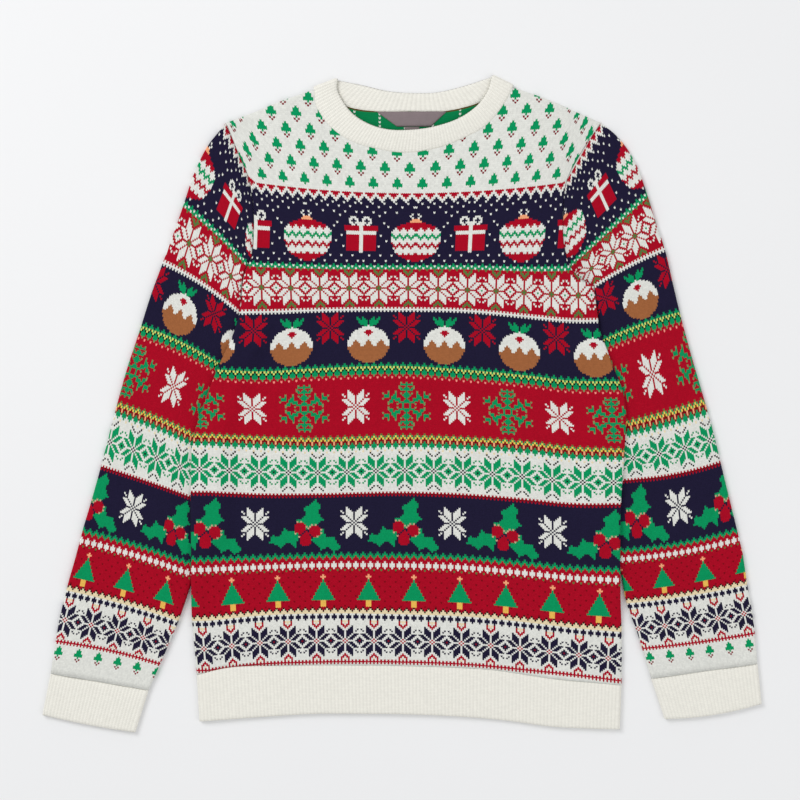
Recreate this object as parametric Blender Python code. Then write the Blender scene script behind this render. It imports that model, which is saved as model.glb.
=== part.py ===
"""A crew-neck jacquard Christmas jumper, laid flat on its back.

The garment lies in the XY plane with its hem towards -Y and its neck towards +Y. Sides are the wearer's:
"right" is at -X and "left" at +X. Every panel is a knitted wall. The front lies on the back, each sleeve
is a flattened tube, and the body's side folds lie over the sleeves' inner folds.

Lengths are in millimetres until a mesh is made, which is in metres.
"""

import math

import bmesh
import bpy
import numpy as np

MM = 0.001
# The middle of the footprint in the tables below, which becomes the origin
FOOTPRINT_CENTRE = (0.0, -1.0)

# Cloth
WALL = 2.4
SEAM_GAP = 0.3
LAYER_GAP = 0.8
FOLD_DROP = 1.4
FOLD_REACH = 2.4
SEAM_PINCH = LAYER_GAP - SEAM_GAP
PINCH_REACH = 9.0

FRONT_BASE = WALL + LAYER_GAP
FRONT_TOP = FRONT_BASE + WALL

# The body's side folds over the sleeves
OVERLAP = 26.0
LIFT = FRONT_TOP + SEAM_GAP
LIFT_MARGIN = 5.0
LIFT_RAMP = 24.0

# Ribs
HEM_RIBS = 119
CUFF_RIBS = 28
COLLAR_FRONT_RIBS = 78
COLLAR_BACK_RIBS = 46
RIB_RELIEF = 0.3

# Collar
COLLAR_BASE = FRONT_BASE
COLLAR_RISE = 3.0
TIP_TURN_STEPS = 4

# Grid of the body panels
ARMHOLE_STEPS = 6
NECK_STEPS = 12
SIDE_OFFSETS = (0.0, 0.8, FOLD_REACH)
SHOULDER_OFFSETS = (FOLD_REACH, 0.8, 0.0)
# Sleeve sections made from each row of the tables below
SECTION_STEPS = 2

# Labels
LABEL_THICKNESS = 1.0
TAB_THICKNESS = 0.5

# Outlines, columns x and y. Sides and armholes run upwards, the others from right to left of the wearer.
SIDE_RIGHT = (
    (-222.0, -294.5),
    (-223.5, -276.0),
    (-227.0, -235.0),
    (-227.5, -202.5),
    (-227.5, -162.5),
    (-228.0, -90.0),
    (-227.0, -51.5),
    (-222.5, -27.5),
    (-217.0, -10.5),
    (-207.5, 15.5),
    (-196.5, 42.5),
    (-181.0, 77.0),
    (-174.5, 101.0),
    (-169.5, 141.0),
    (-162.5, 157.0),
)
SIDE_LEFT = (
    (237.5, -305.5),
    (237.5, -244.5),
    (236.0, -211.0),
    (235.5, -183.0),
    (236.5, -105.5),
    (240.0, -51.5),
    (240.5, 0.5),
    (236.5, 18.0),
    (228.0, 37.5),
    (220.5, 59.0),
    (214.0, 76.0),
    (210.5, 100.0),
    (207.5, 127.0),
)
ARMHOLE_RIGHT = (
    (-162.5, 157.0),
    (-160.5, 175.5),
    (-160.0, 202.5),
    (-162.0, 224.0),
    (-165.0, 240.5),
    (-178.0, 272.5),
    (-190.0, 302.5),
)
ARMHOLE_LEFT = (
    (207.5, 127.0),
    (194.5, 132.5),
    (182.5, 145.5),
    (176.0, 164.5),
    (174.0, 202.5),
    (178.0, 240.5),
    (192.0, 267.5),
    (215.0, 302.5),
)
SHOULDER_RIGHT = (
    (-190.0, 302.5),
    (-161.0, 313.5),
    (-132.0, 325.5),
    (-95.0, 338.5),
)
SHOULDER_LEFT = (
    (119.5, 341.0),
    (150.0, 330.5),
    (170.5, 322.5),
    (192.0, 312.5),
    (215.0, 302.5),
)
NECK_FRONT = (
    (-95.0, 338.5),
    (-93.0, 321.0),
    (-85.5, 307.5),
    (-72.5, 293.5),
    (-57.0, 283.5),
    (-27.0, 274.0),
    (8.5, 270.0),
    (36.5, 274.5),
    (67.5, 286.0),
    (89.0, 298.0),
    (105.0, 315.0),
    (116.5, 334.0),
    (119.5, 341.0),
)
NECK_BACK = (
    (-95.0, 338.5),
    (-80.0, 330.0),
    (-55.5, 319.0),
    (-27.5, 315.0),
    (8.5, 315.0),
    (48.5, 315.5),
    (78.0, 322.5),
    (98.5, 331.0),
    (119.5, 341.0),
)
COLLAR_EDGE_FRONT = (
    (-69.0, 348.5),
    (-70.0, 340.5),
    (-66.0, 330.0),
    (-54.0, 313.0),
    (-34.5, 300.5),
    (-15.0, 295.0),
    (8.5, 294.5),
    (36.5, 298.5),
    (67.5, 310.5),
    (84.0, 324.0),
    (93.5, 339.5),
    (96.5, 352.0),
)
COLLAR_EDGE_BACK = (
    (-69.0, 348.5),
    (-46.0, 344.0),
    (-12.0, 336.5),
    (8.5, 335.0),
    (36.5, 335.5),
    (69.0, 343.0),
    (96.5, 352.0),
)
HEM_SEAM = (
    (-222.0, -294.5),
    (-190.0, -286.5),
    (-124.0, -284.5),
    (-2.0, -284.5),
    (97.0, -289.0),
    (163.0, -298.5),
    (237.5, -305.5),
)
HEM_EDGE = (
    (-219.0, -345.0),
    (-157.5, -340.5),
    (-90.5, -336.5),
    (-41.0, -336.5),
    (19.5, -337.5),
    (113.5, -344.0),
    (163.0, -350.5),
    (203.0, -352.5),
    (235.5, -353.5),
)

# Heights of the body's rows, as shares of the side from the hem seam to the underarm
SIDE_ROWS = (0.0, 0.107, 0.161, 0.209, 0.25, 0.36, 0.47, 0.58, 0.68, 0.77, 0.85, 0.914, 0.958, 1.0)

# Where each sleeve goes under the body's side, as shares of that side from the hem seam:
# lift_from, lift_full, under_from, under_full
UNDER_RIGHT = (0.107, 0.209, 0.215, 0.36)
UNDER_LEFT = (0.161, 0.25, 0.285, 0.42)
# The same at the underarm: under_full, under_to, lift_full, lift_to
UNDER_TOP = (0.80, 0.905, 0.914, 1.0)

# Sleeve sections that end under the body: outer_x, outer_y, share of the body's side where they end
HIDDEN_RIGHT = (
    (-190.0, 302.5, 1.0),
    (-210.5, 277.0, 0.99),
    (-224.0, 250.0, 0.975),
    (-236.5, 213.5, 0.955),
    (-247.0, 183.0, 0.915),
    (-259.0, 150.5, 0.86),
    (-271.0, 118.0, 0.80),
    (-284.0, 77.0, 0.725),
    (-297.0, 38.0, 0.64),
    (-309.0, -5.0, 0.555),
    (-325.5, -68.5, 0.42),
    (-335.0, -103.0, 0.345),
    (-344.0, -133.0, 0.275),
)
HIDDEN_LEFT = (
    (215.0, 302.5, 1.0),
    (234.0, 286.5, 0.99),
    (252.0, 260.0, 0.98),
    (265.5, 224.0, 0.965),
    (274.5, 195.0, 0.95),
    (284.5, 165.0, 0.92),
    (292.0, 133.0, 0.88),
    (301.0, 95.0, 0.82),
    (311.5, 56.0, 0.74),
    (322.5, 18.0, 0.66),
    (333.0, -18.0, 0.585),
    (349.0, -83.0, 0.45),
    (360.0, -128.0, 0.345),
)
# Sleeve sections that show from fold to fold: outer_x, outer_y, inner_x, inner_y
SHOWN_RIGHT = (
    (-353.0, -167.0, -229.5, -201.0),
    (-363.0, -202.5, -242.0, -237.0),
    (-370.0, -232.0, -252.5, -262.0),
    (-380.0, -293.0, -274.0, -311.0),
)
SHOWN_LEFT = (
    (368.5, -163.0, 236.8, -185.0),
    (373.5, -197.0, 243.0, -217.5),
    (379.0, -228.0, 252.5, -243.5),
    (384.5, -282.5, 269.5, -298.5),
)
# Cuff ends: outer_x, outer_y, inner_x, inner_y, sag of the middle below the line between them
CUFF_END_RIGHT = (-389.0, -337.5, -288.5, -356.5, 1.5)
CUFF_END_LEFT = (389.0, -325.5, 284.0, -342.0, 4.0)
# How much of the armhole's bow each further sleeve section keeps
CAP_BOW = (1.0, 0.62, 0.34, 0.15, 0.05, 0.0)

# Neck label and size tab on the back's inner face, columns x and y
LABEL_OUTLINE = (
    (-27.5, 314.5),
    (-5.5, 298.5),
    (31.0, 298.5),
    (48.5, 314.8),
)
TAB_OUTLINE = (
    (3.0, 298.1),
    (3.0, 292.5),
    (18.5, 292.5),
    (18.5, 298.1),
)

# Materials: colour, roughness
RED_KNIT = ((0.42, 0.010, 0.028), 0.9)
NAVY_KNIT = ((0.018, 0.014, 0.045), 0.9)
CREAM_RIB = ((0.80, 0.79, 0.73), 0.9)
LABEL_SATIN = ((0.25, 0.21, 0.22), 0.55)
TAB_SATIN = ((0.20, 0.18, 0.19), 0.55)


def smooth(rows, steps=8):
    """A dense line on a cubic through the rows, spaced by their distance from each other."""
    points = np.array(rows, float)
    at = np.concatenate([[0.0], np.cumsum(np.linalg.norm(np.diff(points, axis=0), axis=1))])
    slope = np.gradient(points, at, axis=0)
    fine = np.interp(np.arange((len(at) - 1) * steps + 1) / steps, np.arange(len(at)), at)
    i = np.clip(np.searchsorted(at, fine, side="right") - 1, 0, len(at) - 2)
    span = (at[i + 1] - at[i])[:, None]
    s = (fine - at[i])[:, None] / span
    start = (1 + 2 * s) * (1 - s) ** 2 * points[i] + s * (1 - s) ** 2 * span * slope[i]
    end = s**2 * (3 - 2 * s) * points[i + 1] + s**2 * (s - 1) * span * slope[i + 1]
    return start + end


def along(line, shares):
    """Points of a line at shares of its length."""
    line = np.asarray(line, float)
    at = np.concatenate([[0.0], np.cumsum(np.hypot(*np.diff(line, axis=0).T))])
    where = np.asarray(shares, float) * at[-1]
    return np.stack([np.interp(where, at, line[:, 0]), np.interp(where, at, line[:, 1])], axis=1)


def at_heights(line, shares):
    """Points of a rising line at shares of its height."""
    y = line[0, 1] + np.asarray(shares, float) * (line[-1, 1] - line[0, 1])
    return np.stack([np.interp(y, line[:, 1], line[:, 0]), y], axis=1)


def ramp(value, start, end):
    """A soft step from 0 at start to 1 at end."""
    s = np.clip((value - start) / (end - start), 0.0, 1.0)
    return s * s * (3 - 2 * s)


def line_ramp(value, start, end):
    """A straight step from 0 at start to 1 at end."""
    return float(np.clip((value - start) / (end - start), 0.0, 1.0))


def overlap_at(share, under):
    """How far a sleeve's inner fold lies inside the body's side fold, at a share of the body's side."""
    inside = ramp(share, under[2], under[3]) * (1 - ramp(share, UNDER_TOP[0], UNDER_TOP[1]))
    return OVERLAP * inside - 2 * SEAM_GAP * (1 - inside)


def lift_at(share, under):
    """How high the body's side fold is lifted by the sleeve under it, at a share of the body's side."""
    return LIFT * line_ramp(share, under[0], under[1]) * (1 - line_ramp(share, UNDER_TOP[2], UNDER_TOP[3]))


def fold_drop(distance):
    """How far a folded edge has rounded off at a distance inside it."""
    return FOLD_DROP * max(0.0, 1 - distance / FOLD_REACH) ** 2


def pinch(distance):
    """How far the front comes down to the back beside a seam between them."""
    return SEAM_PINCH * (1 - ramp(distance, 0.0, PINCH_REACH))


def loft(loops, wrap):
    """Join equal loops of points into a closed surface.

    With wrap the last loop joins the first, as on a ring. Without it both ends get a strip of faces across,
    from each point of the loop's first half to the one facing it in the second half, and each face between
    two loops is cut the same way on both sides, so that stacked layers stay parallel.
    """
    count = len(loops[0])
    points = [point for loop in loops for point in loop]
    faces = []
    pairs = len(loops) if wrap else len(loops) - 1
    for i in range(pairs):
        here = i * count
        there = (i + 1) % len(loops) * count
        for j in range(count):
            k = (j + 1) % count
            if wrap:
                faces.append((here + j, here + k, there + k, there + j))
            elif j < count // 2:
                faces.append((here + j, here + k, there + k))
                faces.append((here + j, there + k, there + j))
            else:
                faces.append((here + j, here + k, there + j))
                faces.append((here + k, there + k, there + j))
    if not wrap:
        last = (len(loops) - 1) * count
        for j in range(count // 2 - 1):
            faces.append((j, count - 1 - j, count - 2 - j, j + 1))
            faces.append((last + j, last + j + 1, last + count - 2 - j, last + count - 1 - j))
    return points, faces


def cloth_material(name, finish):
    colour, roughness = finish
    material = bpy.data.materials.new(name)
    material.use_nodes = True
    shader = material.node_tree.nodes["Principled BSDF"]
    shader.inputs["Base Color"].default_value = (*colour, 1.0)
    shader.inputs["Roughness"].default_value = roughness
    shader.inputs["Metallic"].default_value = 0.0
    return material


def add_solid(name, surface, finish, collection):
    """Make an object from a closed surface in millimetres."""
    points, faces = surface
    points = (np.array(points, float) - (*FOOTPRINT_CENTRE, 0.0)) * MM
    mesh = bpy.data.meshes.new(name)
    mesh.from_pydata(points.tolist(), [], faces)
    shape = bmesh.new()
    shape.from_mesh(mesh)
    bmesh.ops.recalc_face_normals(shape, faces=shape.faces)
    shape.to_mesh(mesh)
    shape.free()
    mesh.materials.append(cloth_material(name + "_cloth", finish))
    mesh.shade_smooth()
    mesh.set_sharp_from_angle(angle=math.radians(35))
    solid = bpy.data.objects.new(name, mesh)
    collection.objects.link(solid)
    return solid


def body_grid(neck):
    """The body's plan as rows of points from the hem seam up, with the side and shoulder distances.

    Returns the points, each point's distance to the nearer side fold (or None beside an armhole), its
    distance to the shoulder fold, and the lift.
    """
    neck_line = smooth(neck)
    shoulders = (smooth(SHOULDER_RIGHT), smooth(SHOULDER_LEFT))
    right = np.concatenate([
        at_heights(smooth(SIDE_RIGHT), SIDE_ROWS),
        along(smooth(ARMHOLE_RIGHT), np.arange(1, ARMHOLE_STEPS + 1) / ARMHOLE_STEPS),
    ])
    left = np.concatenate([
        at_heights(smooth(SIDE_LEFT), SIDE_ROWS),
        along(smooth(ARMHOLE_LEFT), np.arange(1, ARMHOLE_STEPS + 1) / ARMHOLE_STEPS),
    ])
    hem = smooth(HEM_SEAM)
    width_top = left[-1, 0] - right[-1, 0]
    neck_from = (neck[0][0] - right[-1, 0]) / width_top
    neck_to = (neck[-1][0] - right[-1, 0]) / width_top

    def top_point(u):
        if u <= neck_from:
            return along(shoulders[0], [u / neck_from])[0]
        if u >= neck_to:
            return along(shoulders[1], [(u - neck_to) / (1 - neck_to)])[0]
        return along(neck_line, [(u - neck_from) / (neck_to - neck_from)])[0]

    def plan_point(u, row, v):
        bottom = along(hem, [u])[0]
        across = (1 - u) * right[row] + u * left[row]
        upward = (1 - v) * bottom + v * top_point(u)
        corner = (1 - v) * ((1 - u) * hem[0] + u * hem[-1]) + v * ((1 - u) * right[-1] + u * left[-1])
        return across + upward - corner

    heights = (right[:, 1] + left[:, 1]) / 2
    levels = (heights - heights[0]) / (heights[-1] - heights[0])
    side_rows = len(SIDE_ROWS)
    neck_columns = np.linspace(neck_from, neck_to, NECK_STEPS + 1)
    shoulder_drop = heights[-1] - heights[-2]

    rows = [(i, levels[i], None) for i in range(len(levels) - 1)]
    for offset in SHOULDER_OFFSETS:
        rows.append((len(levels) - 1, 1.0, offset))
    points, side_distance, shoulder_distance, lifts = [], [], [], []
    for i, level, offset in rows:
        beside = i < side_rows
        share = SIDE_ROWS[i] if beside else 1.0
        width = left[i, 0] - right[i, 0]
        blocks = []
        for under in (UNDER_RIGHT, UNDER_LEFT):
            reach = max(0.0, overlap_at(share, under)) + LIFT_MARGIN
            ends = (reach, reach + LIFT_RAMP / 2, reach + LIFT_RAMP)
            blocks.append(np.array(SIDE_OFFSETS + ends) / width)
        first = np.concatenate([blocks[0], [(blocks[0][-1] + neck_from) / 2]])
        last = np.concatenate([[1 - (blocks[1][-1] + 1 - neck_to) / 2], 1 - blocks[1][::-1]])
        columns = np.concatenate([first, neck_columns, last])
        row = []
        for u in columns:
            point = plan_point(u, i, level)
            if offset is not None:
                below = plan_point(u, i - 1, levels[i - 1])
                point = point + (below - point) * offset / shoulder_drop
            row.append(point)
        row = np.array(row)
        to_right = columns * width
        to_left = (1 - columns) * width
        lift = []
        for j in range(len(columns)):
            rise = 0.0
            if beside:
                for distance, under in ((to_right[j], UNDER_RIGHT), (to_left[j], UNDER_LEFT)):
                    reach = max(0.0, overlap_at(share, under)) + LIFT_MARGIN
                    rise += lift_at(share, under) * (1 - ramp(distance, reach, reach + LIFT_RAMP))
            lift.append(rise)
        nearest = np.minimum(to_right, to_left) if beside else np.full(len(columns), PINCH_REACH)
        on_shoulder = (columns <= neck_from + 1e-9) | (columns >= neck_to - 1e-9)
        from_shoulder = 0.0 if offset is None else offset
        far = offset is None
        shoulder_distance.append([PINCH_REACH if far or not on else from_shoulder for on in on_shoulder])
        side_distance.append(nearest)
        points.append(row)
        lifts.append(lift)
    return points, side_distance, shoulder_distance, lifts


def body_panel(grid, is_front):
    """One layer of the body between its lower and upper heights."""
    points, side_distance, shoulder_distance, lifts = grid
    loops = []
    for row, sides, shoulders, lift in zip(points, side_distance, shoulder_distance, lifts):
        upper, lower = [], []
        for point, side, shoulder, rise in zip(row, sides, shoulders, lift):
            inside = min(side, shoulder)
            if is_front:
                low = FRONT_BASE - pinch(inside)
                high = FRONT_TOP - pinch(inside) - fold_drop(inside)
            else:
                low = fold_drop(inside)
                high = WALL
            upper.append((point[0], point[1], high + rise))
            lower.append((point[0], point[1], low + rise))
        loops.append(upper + lower[::-1])
    return loft(loops, wrap=False)


def hem_front(seam_row):
    """The front's ribbed welt, one ridge and one groove for each rib."""
    shares = np.linspace(0.0, 1.0, 2 * HEM_RIBS + 1)
    seam = along(seam_row, shares) - (0.0, SEAM_GAP)
    edge = along(smooth(HEM_EDGE), shares)
    width = seam_row[-1][0] - seam_row[0][0]
    loops = []
    for j, share in enumerate(shares):
        inside = min(share, 1 - share) * width
        relief = RIB_RELIEF if j % 2 else -RIB_RELIEF
        low = FRONT_BASE - pinch(inside)
        high = FRONT_TOP - pinch(inside) - fold_drop(inside) + relief
        loops.append((
            (*seam[j], high),
            (*edge[j], high - RIB_RELIEF),
            (*edge[j], low),
            (*seam[j], low),
        ))
    return loft(loops, wrap=False)


def hem_back(seam_row):
    """The back's welt, plain where it rests and where the front covers it."""
    at = np.concatenate([[0.0], np.cumsum(np.hypot(*np.diff(seam_row, axis=0).T))])
    shares = at / at[-1]
    seam = np.asarray(seam_row) - (0.0, SEAM_GAP)
    edge = along(smooth(HEM_EDGE), shares)
    width = seam_row[-1][0] - seam_row[0][0]
    loops = []
    for j, share in enumerate(shares):
        low = fold_drop(min(share, 1 - share) * width)
        loops.append((
            (*seam[j], WALL),
            (*edge[j], WALL),
            (*edge[j], low),
            (*seam[j], low),
        ))
    return loft(loops, wrap=False)


def tube_ring(plan, width, shares, relief, inner):
    """One loop round a flattened tube: over the top from the outer fold to the inner one, and back below.

    plan gives the point in plan at a share of the width. The fold at each side is a half circle.
    """
    top = FRONT_BASE if inner else FRONT_TOP
    bottom = WALL if inner else 0.0
    middle = (top + bottom) / 2
    radius = (top - bottom) / 2
    inset = WALL if inner else 0.0
    turn = math.radians(45)
    ends = (
        (inset / width, 0.0),
        ((inset + radius * (1 - math.cos(turn))) / width, math.sin(turn)),
        ((inset + radius) / width, 1.0),
    )
    profile = [(share, height) for share, height in ends]
    profile += [(share, 1.0) for share in shares]
    profile += [(1 - share, height) for share, height in reversed(ends)]
    profile += [(1 - share, -height) for share, height in ends[1:]]
    profile += [(share, -1.0) for share in reversed(shares)]
    profile += [(share, -height) for share, height in reversed(ends[1:])]
    ridges = len(ends) + len(shares)
    loop = []
    for j, (share, height) in enumerate(profile):
        x, y = plan(share)
        on_top = len(ends) <= j < ridges
        raised = 0.0 if inner or not on_top else (relief if j % 2 else -relief)
        loop.append((x, y, middle + radius * height + raised))
    return loop


def tube(sections, shares, relief=0.0):
    """A flattened tube through sections, each a plan function and a width, open at both ends."""
    outer = [tube_ring(plan, width, shares, relief, inner=False) for plan, width in sections]
    inner = [tube_ring(plan, width, shares, relief, inner=True) for plan, width in sections]
    return loft(outer + inner[::-1], wrap=True)


def straight_plan(outer, inner):
    outer, inner = np.array(outer), np.array(inner)

    def plan(share):
        return outer + share * (inner - outer)

    return plan


def bowed_plan(outer, inner, armhole, bow, clear):
    """A section that keeps a share of the armhole's bow and stays clear of it along X.

    Past the armhole itself the bow fades towards the underarm, where the body's corner stands.
    """
    outer, inner = np.array(outer), np.array(inner)

    def plan(share):
        seam = along(armhole[::-1], [share])[0]
        chord = armhole[-1] + share * (armhole[0] - armhole[-1])
        kept = bow if bow == 1.0 else bow * (1 - ramp(share, 0.6, 0.95))
        return outer + share * (inner - outer) + kept * (seam - chord) + (clear, 0.0)

    return plan


def sleeve_sections(side, armhole, hidden, shown, under, outward):
    """The sleeve's sections from the armhole to the cuff seam; outward is the sign of X away from the body."""
    side_line = smooth(side)
    seam = along(smooth(armhole), np.arange(ARMHOLE_STEPS + 1) / ARMHOLE_STEPS)
    sections = []
    for k, (x, y, share) in enumerate(smooth(hidden, SECTION_STEPS)):
        inner = at_heights(side_line, [share])[0]
        inner = inner - (outward * overlap_at(share, under), 0.0)
        if k == 0:
            inner = seam[0]
        outer = np.array((x, y))
        width = np.hypot(*(outer - inner))
        bow = np.interp(k / SECTION_STEPS, np.arange(len(CAP_BOW)), CAP_BOW)
        clear = outward * SEAM_GAP * 1.5 if k == 0 else 0.0
        sections.append((bowed_plan(outer, inner, seam, bow, clear), width))
    for outer_x, outer_y, inner_x, inner_y in smooth(shown, SECTION_STEPS):
        width = math.hypot(outer_x - inner_x, outer_y - inner_y)
        sections.append((straight_plan((outer_x, outer_y), (inner_x, inner_y)), width))
    return sections


def cuff(seam, end):
    """A ribbed cuff from the sleeve's last section to its own edge."""
    outer = np.array(seam[:2]) - (0.0, SEAM_GAP)
    inner = np.array(seam[2:]) - (0.0, SEAM_GAP)
    edge_outer, edge_inner, sag = np.array(end[:2]), np.array(end[2:4]), end[4]

    def edge_plan(share):
        drop = sag * 4 * share * (1 - share)
        return edge_outer + share * (edge_inner - edge_outer) - (0.0, drop)

    sections = [
        (straight_plan(outer, inner), np.hypot(*(outer - inner))),
        (edge_plan, np.hypot(*(edge_outer - edge_inner))),
    ]
    shares = tuple((k + 1) / (2 * CUFF_RIBS + 2) for k in range(2 * CUFF_RIBS + 1))
    return tube(sections, shares, RIB_RELIEF)


def collar_section(seam, edge, normal, outer_relief, inner_relief):
    """The four corners of the collar's wall between its seam and its free edge."""
    half = WALL / 2
    out = (half + outer_relief) * normal
    into = (half + inner_relief) * normal
    return (seam + out, seam - into, edge - into, edge + out)


def collar(front_seam, back_seam):
    """The rib collar: one band round the neck, folded at the two neck points.

    Its ribs stand on the face that shows, the outer one in front and the inner one at the back.
    """
    up = np.array((0.0, 0.0, 1.0))
    front_height = COLLAR_BASE + WALL / 2
    back_height = WALL / 2
    edge_front = smooth(COLLAR_EDGE_FRONT)
    edge_back = smooth(COLLAR_EDGE_BACK)

    def band(seam_row, edge_line, ribs, height, rise, outward):
        shares = np.linspace(0.0, 1.0, 2 * ribs + 1)
        seam = along(seam_row, shares)
        edge = along(edge_line, shares)
        sections = []
        for j, share in enumerate(shares):
            step = edge[j] - seam[j]
            start = seam[j] + step / np.hypot(*step) * SEAM_GAP
            relief = RIB_RELIEF if j % 2 else -RIB_RELIEF
            free = height + rise * math.sin(math.pi * share)
            reliefs = (relief, 0.0) if outward > 0 else (0.0, relief)
            sections.append(collar_section(
                np.array((*start, height)),
                np.array((*edge[j], free)),
                up * outward,
                *reliefs,
            ))
        return sections

    def turn(seam_point, edge_point, away):
        """Sections round a neck point, from the front layer to the back one."""
        step = edge_point - seam_point
        start = seam_point + step / np.hypot(*step) * SEAM_GAP
        across = np.array((-step[1], step[0], 0.0)) / np.hypot(*step)
        across = across if across[:2] @ away > 0 else -across
        middle = (front_height + back_height) / 2
        radius = (front_height - back_height) / 2
        sections = []
        for k in range(1, TIP_TURN_STEPS):
            angle = math.pi * k / TIP_TURN_STEPS
            normal = math.cos(angle) * up + math.sin(angle) * across
            sections.append(collar_section(
                np.array((*start, middle)) + radius * normal,
                np.array((*edge_point, middle)) + radius * normal,
                normal,
                0.0,
                0.0,
            ))
        return sections

    front = band(front_seam, edge_front, COLLAR_FRONT_RIBS, front_height, COLLAR_RISE, 1.0)
    back = band(back_seam, edge_back, COLLAR_BACK_RIBS, back_height, 0.0, -1.0)
    upward = np.array((0.0, 1.0))
    left_tip = turn(front_seam[-1], edge_front[-1], upward)
    right_tip = turn(front_seam[0], edge_front[0], upward)
    return loft(front + left_tip + back[::-1] + right_tip[::-1], wrap=True)


def flat_piece(outline, base, thickness):
    """A thin flat piece over an outline of four corners, the first two on one short side."""
    upper = [(x, y, base + thickness) for x, y in outline]
    lower = [(x, y, base) for x, y in outline]
    near = (upper[0], upper[1], lower[1], lower[0])
    far = (upper[3], upper[2], lower[2], lower[3])
    return loft([near, far], wrap=False)


def main():
    for old in list(bpy.data.objects):
        bpy.data.objects.remove(old, do_unlink=True)
    garment = bpy.data.collections.new("christmas_sweater")
    bpy.context.scene.collection.children.link(garment)

    front_grid = body_grid(NECK_FRONT)
    back_grid = body_grid(NECK_BACK)
    add_solid("front", body_panel(front_grid, is_front=True), RED_KNIT, garment)
    add_solid("back", body_panel(back_grid, is_front=False), RED_KNIT, garment)
    add_solid("hem_front", hem_front(front_grid[0][0]), CREAM_RIB, garment)
    add_solid("hem_back", hem_back(back_grid[0][0]), CREAM_RIB, garment)

    shares = tuple(k / ARMHOLE_STEPS for k in range(1, ARMHOLE_STEPS))
    sides = (
        ("right", SIDE_RIGHT, ARMHOLE_RIGHT, HIDDEN_RIGHT, SHOWN_RIGHT, UNDER_RIGHT, CUFF_END_RIGHT, -1.0),
        ("left", SIDE_LEFT, ARMHOLE_LEFT, HIDDEN_LEFT, SHOWN_LEFT, UNDER_LEFT, CUFF_END_LEFT, 1.0),
    )
    for name, side, armhole, hidden, shown, under, cuff_end, outward in sides:
        sections = sleeve_sections(side, armhole, hidden, shown, under, outward)
        add_solid("sleeve_" + name, tube(sections, shares), NAVY_KNIT, garment)
        add_solid("cuff_" + name, cuff(shown[-1], cuff_end), CREAM_RIB, garment)

    neck = slice(len(SIDE_OFFSETS) + 4, len(SIDE_OFFSETS) + 4 + NECK_STEPS + 1)
    front_neck = front_grid[0][-1][neck]
    back_neck = back_grid[0][-1][neck]
    add_solid("collar", collar(front_neck, back_neck), CREAM_RIB, garment)

    label_base = WALL + SEAM_GAP
    add_solid("neck_label", flat_piece(LABEL_OUTLINE, label_base, LABEL_THICKNESS), LABEL_SATIN, garment)
    add_solid("size_tab", flat_piece(TAB_OUTLINE, label_base, TAB_THICKNESS), TAB_SATIN, garment)


main()
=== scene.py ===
"""Looks of the crew-neck jacquard Christmas jumper laid flat on its back.

Lengths are in millimetres until a mesh is made. X and Y are measured as in the part's tables, from a point
1 mm in front of the footprint's centre. Courses are counted down the garment from the top of the zigzag under
the yoke, and wales across it from the middle of the front.
"""

import math

import bpy
import numpy as np
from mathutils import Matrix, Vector


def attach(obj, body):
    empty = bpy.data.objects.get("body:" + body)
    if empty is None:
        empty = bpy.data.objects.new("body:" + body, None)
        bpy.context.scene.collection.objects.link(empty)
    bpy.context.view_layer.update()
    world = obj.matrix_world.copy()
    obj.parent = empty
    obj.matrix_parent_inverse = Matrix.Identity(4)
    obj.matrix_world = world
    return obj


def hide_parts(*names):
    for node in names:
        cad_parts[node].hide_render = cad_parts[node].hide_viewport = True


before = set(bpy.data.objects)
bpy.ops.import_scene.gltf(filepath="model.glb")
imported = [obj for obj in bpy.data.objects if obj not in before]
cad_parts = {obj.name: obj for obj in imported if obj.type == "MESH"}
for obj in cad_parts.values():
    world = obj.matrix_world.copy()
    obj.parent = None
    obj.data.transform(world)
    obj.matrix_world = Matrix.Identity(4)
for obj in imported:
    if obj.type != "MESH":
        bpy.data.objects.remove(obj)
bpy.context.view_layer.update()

MM = 0.001
FOOTPRINT_CENTRE = (0.0, -1.0)

# --- Camera ---
CAMERA_LENS = 85.0
CAMERA_SENSOR = 36.0
FIELD = 0.864
CAMERA_PLACE = (-0.00216, 0.0037)
CLOTH_LEVEL = 0.006

camera = bpy.data.objects.new("camera", bpy.data.cameras.new("camera"))
camera.data.lens = CAMERA_LENS
camera.data.sensor_width = CAMERA_SENSOR
camera.location = (*CAMERA_PLACE, CLOTH_LEVEL + FIELD * CAMERA_LENS / CAMERA_SENSOR)
bpy.context.scene.collection.objects.link(camera)
bpy.context.scene.camera = camera

# --- Cloth sizes ---
WALL = 2.4
LAYER_GAP = 0.8
SEAM_GAP = 0.3
FRONT_BASE = WALL + LAYER_GAP
FRONT_TOP = FRONT_BASE + WALL
FOLD_LEVEL = FRONT_TOP / 2
FOLD_RADIUS = 3.4

OVERLAP = 26.0
LIFT = FRONT_TOP + SEAM_GAP
LIFT_MARGIN = 5.0
LIFT_RAMP = 24.0

# Half the gap between the front and the back at a side fold
FOLD_PART = 0.1
# How far the layers' inner faces take to leave a fold, and soft relief to start
INNER_REACH = 6.0
RELIEF_REACH = 14.0
# Share of the relief that an inner face has, and the least wall under a trough
RELIEF_BELOW = 0.8
LEAST_WALL = 0.05
# A distance beyond the reach of every fold and seam
FAR = 99.0

HEM_RIBS = 119
CUFF_RIBS = 29
COLLAR_FRONT_RIBS = 74
COLLAR_BACK_RIBS = 40
RIB_HEIGHT = 0.5
COLLAR_RISE = 3.0

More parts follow.
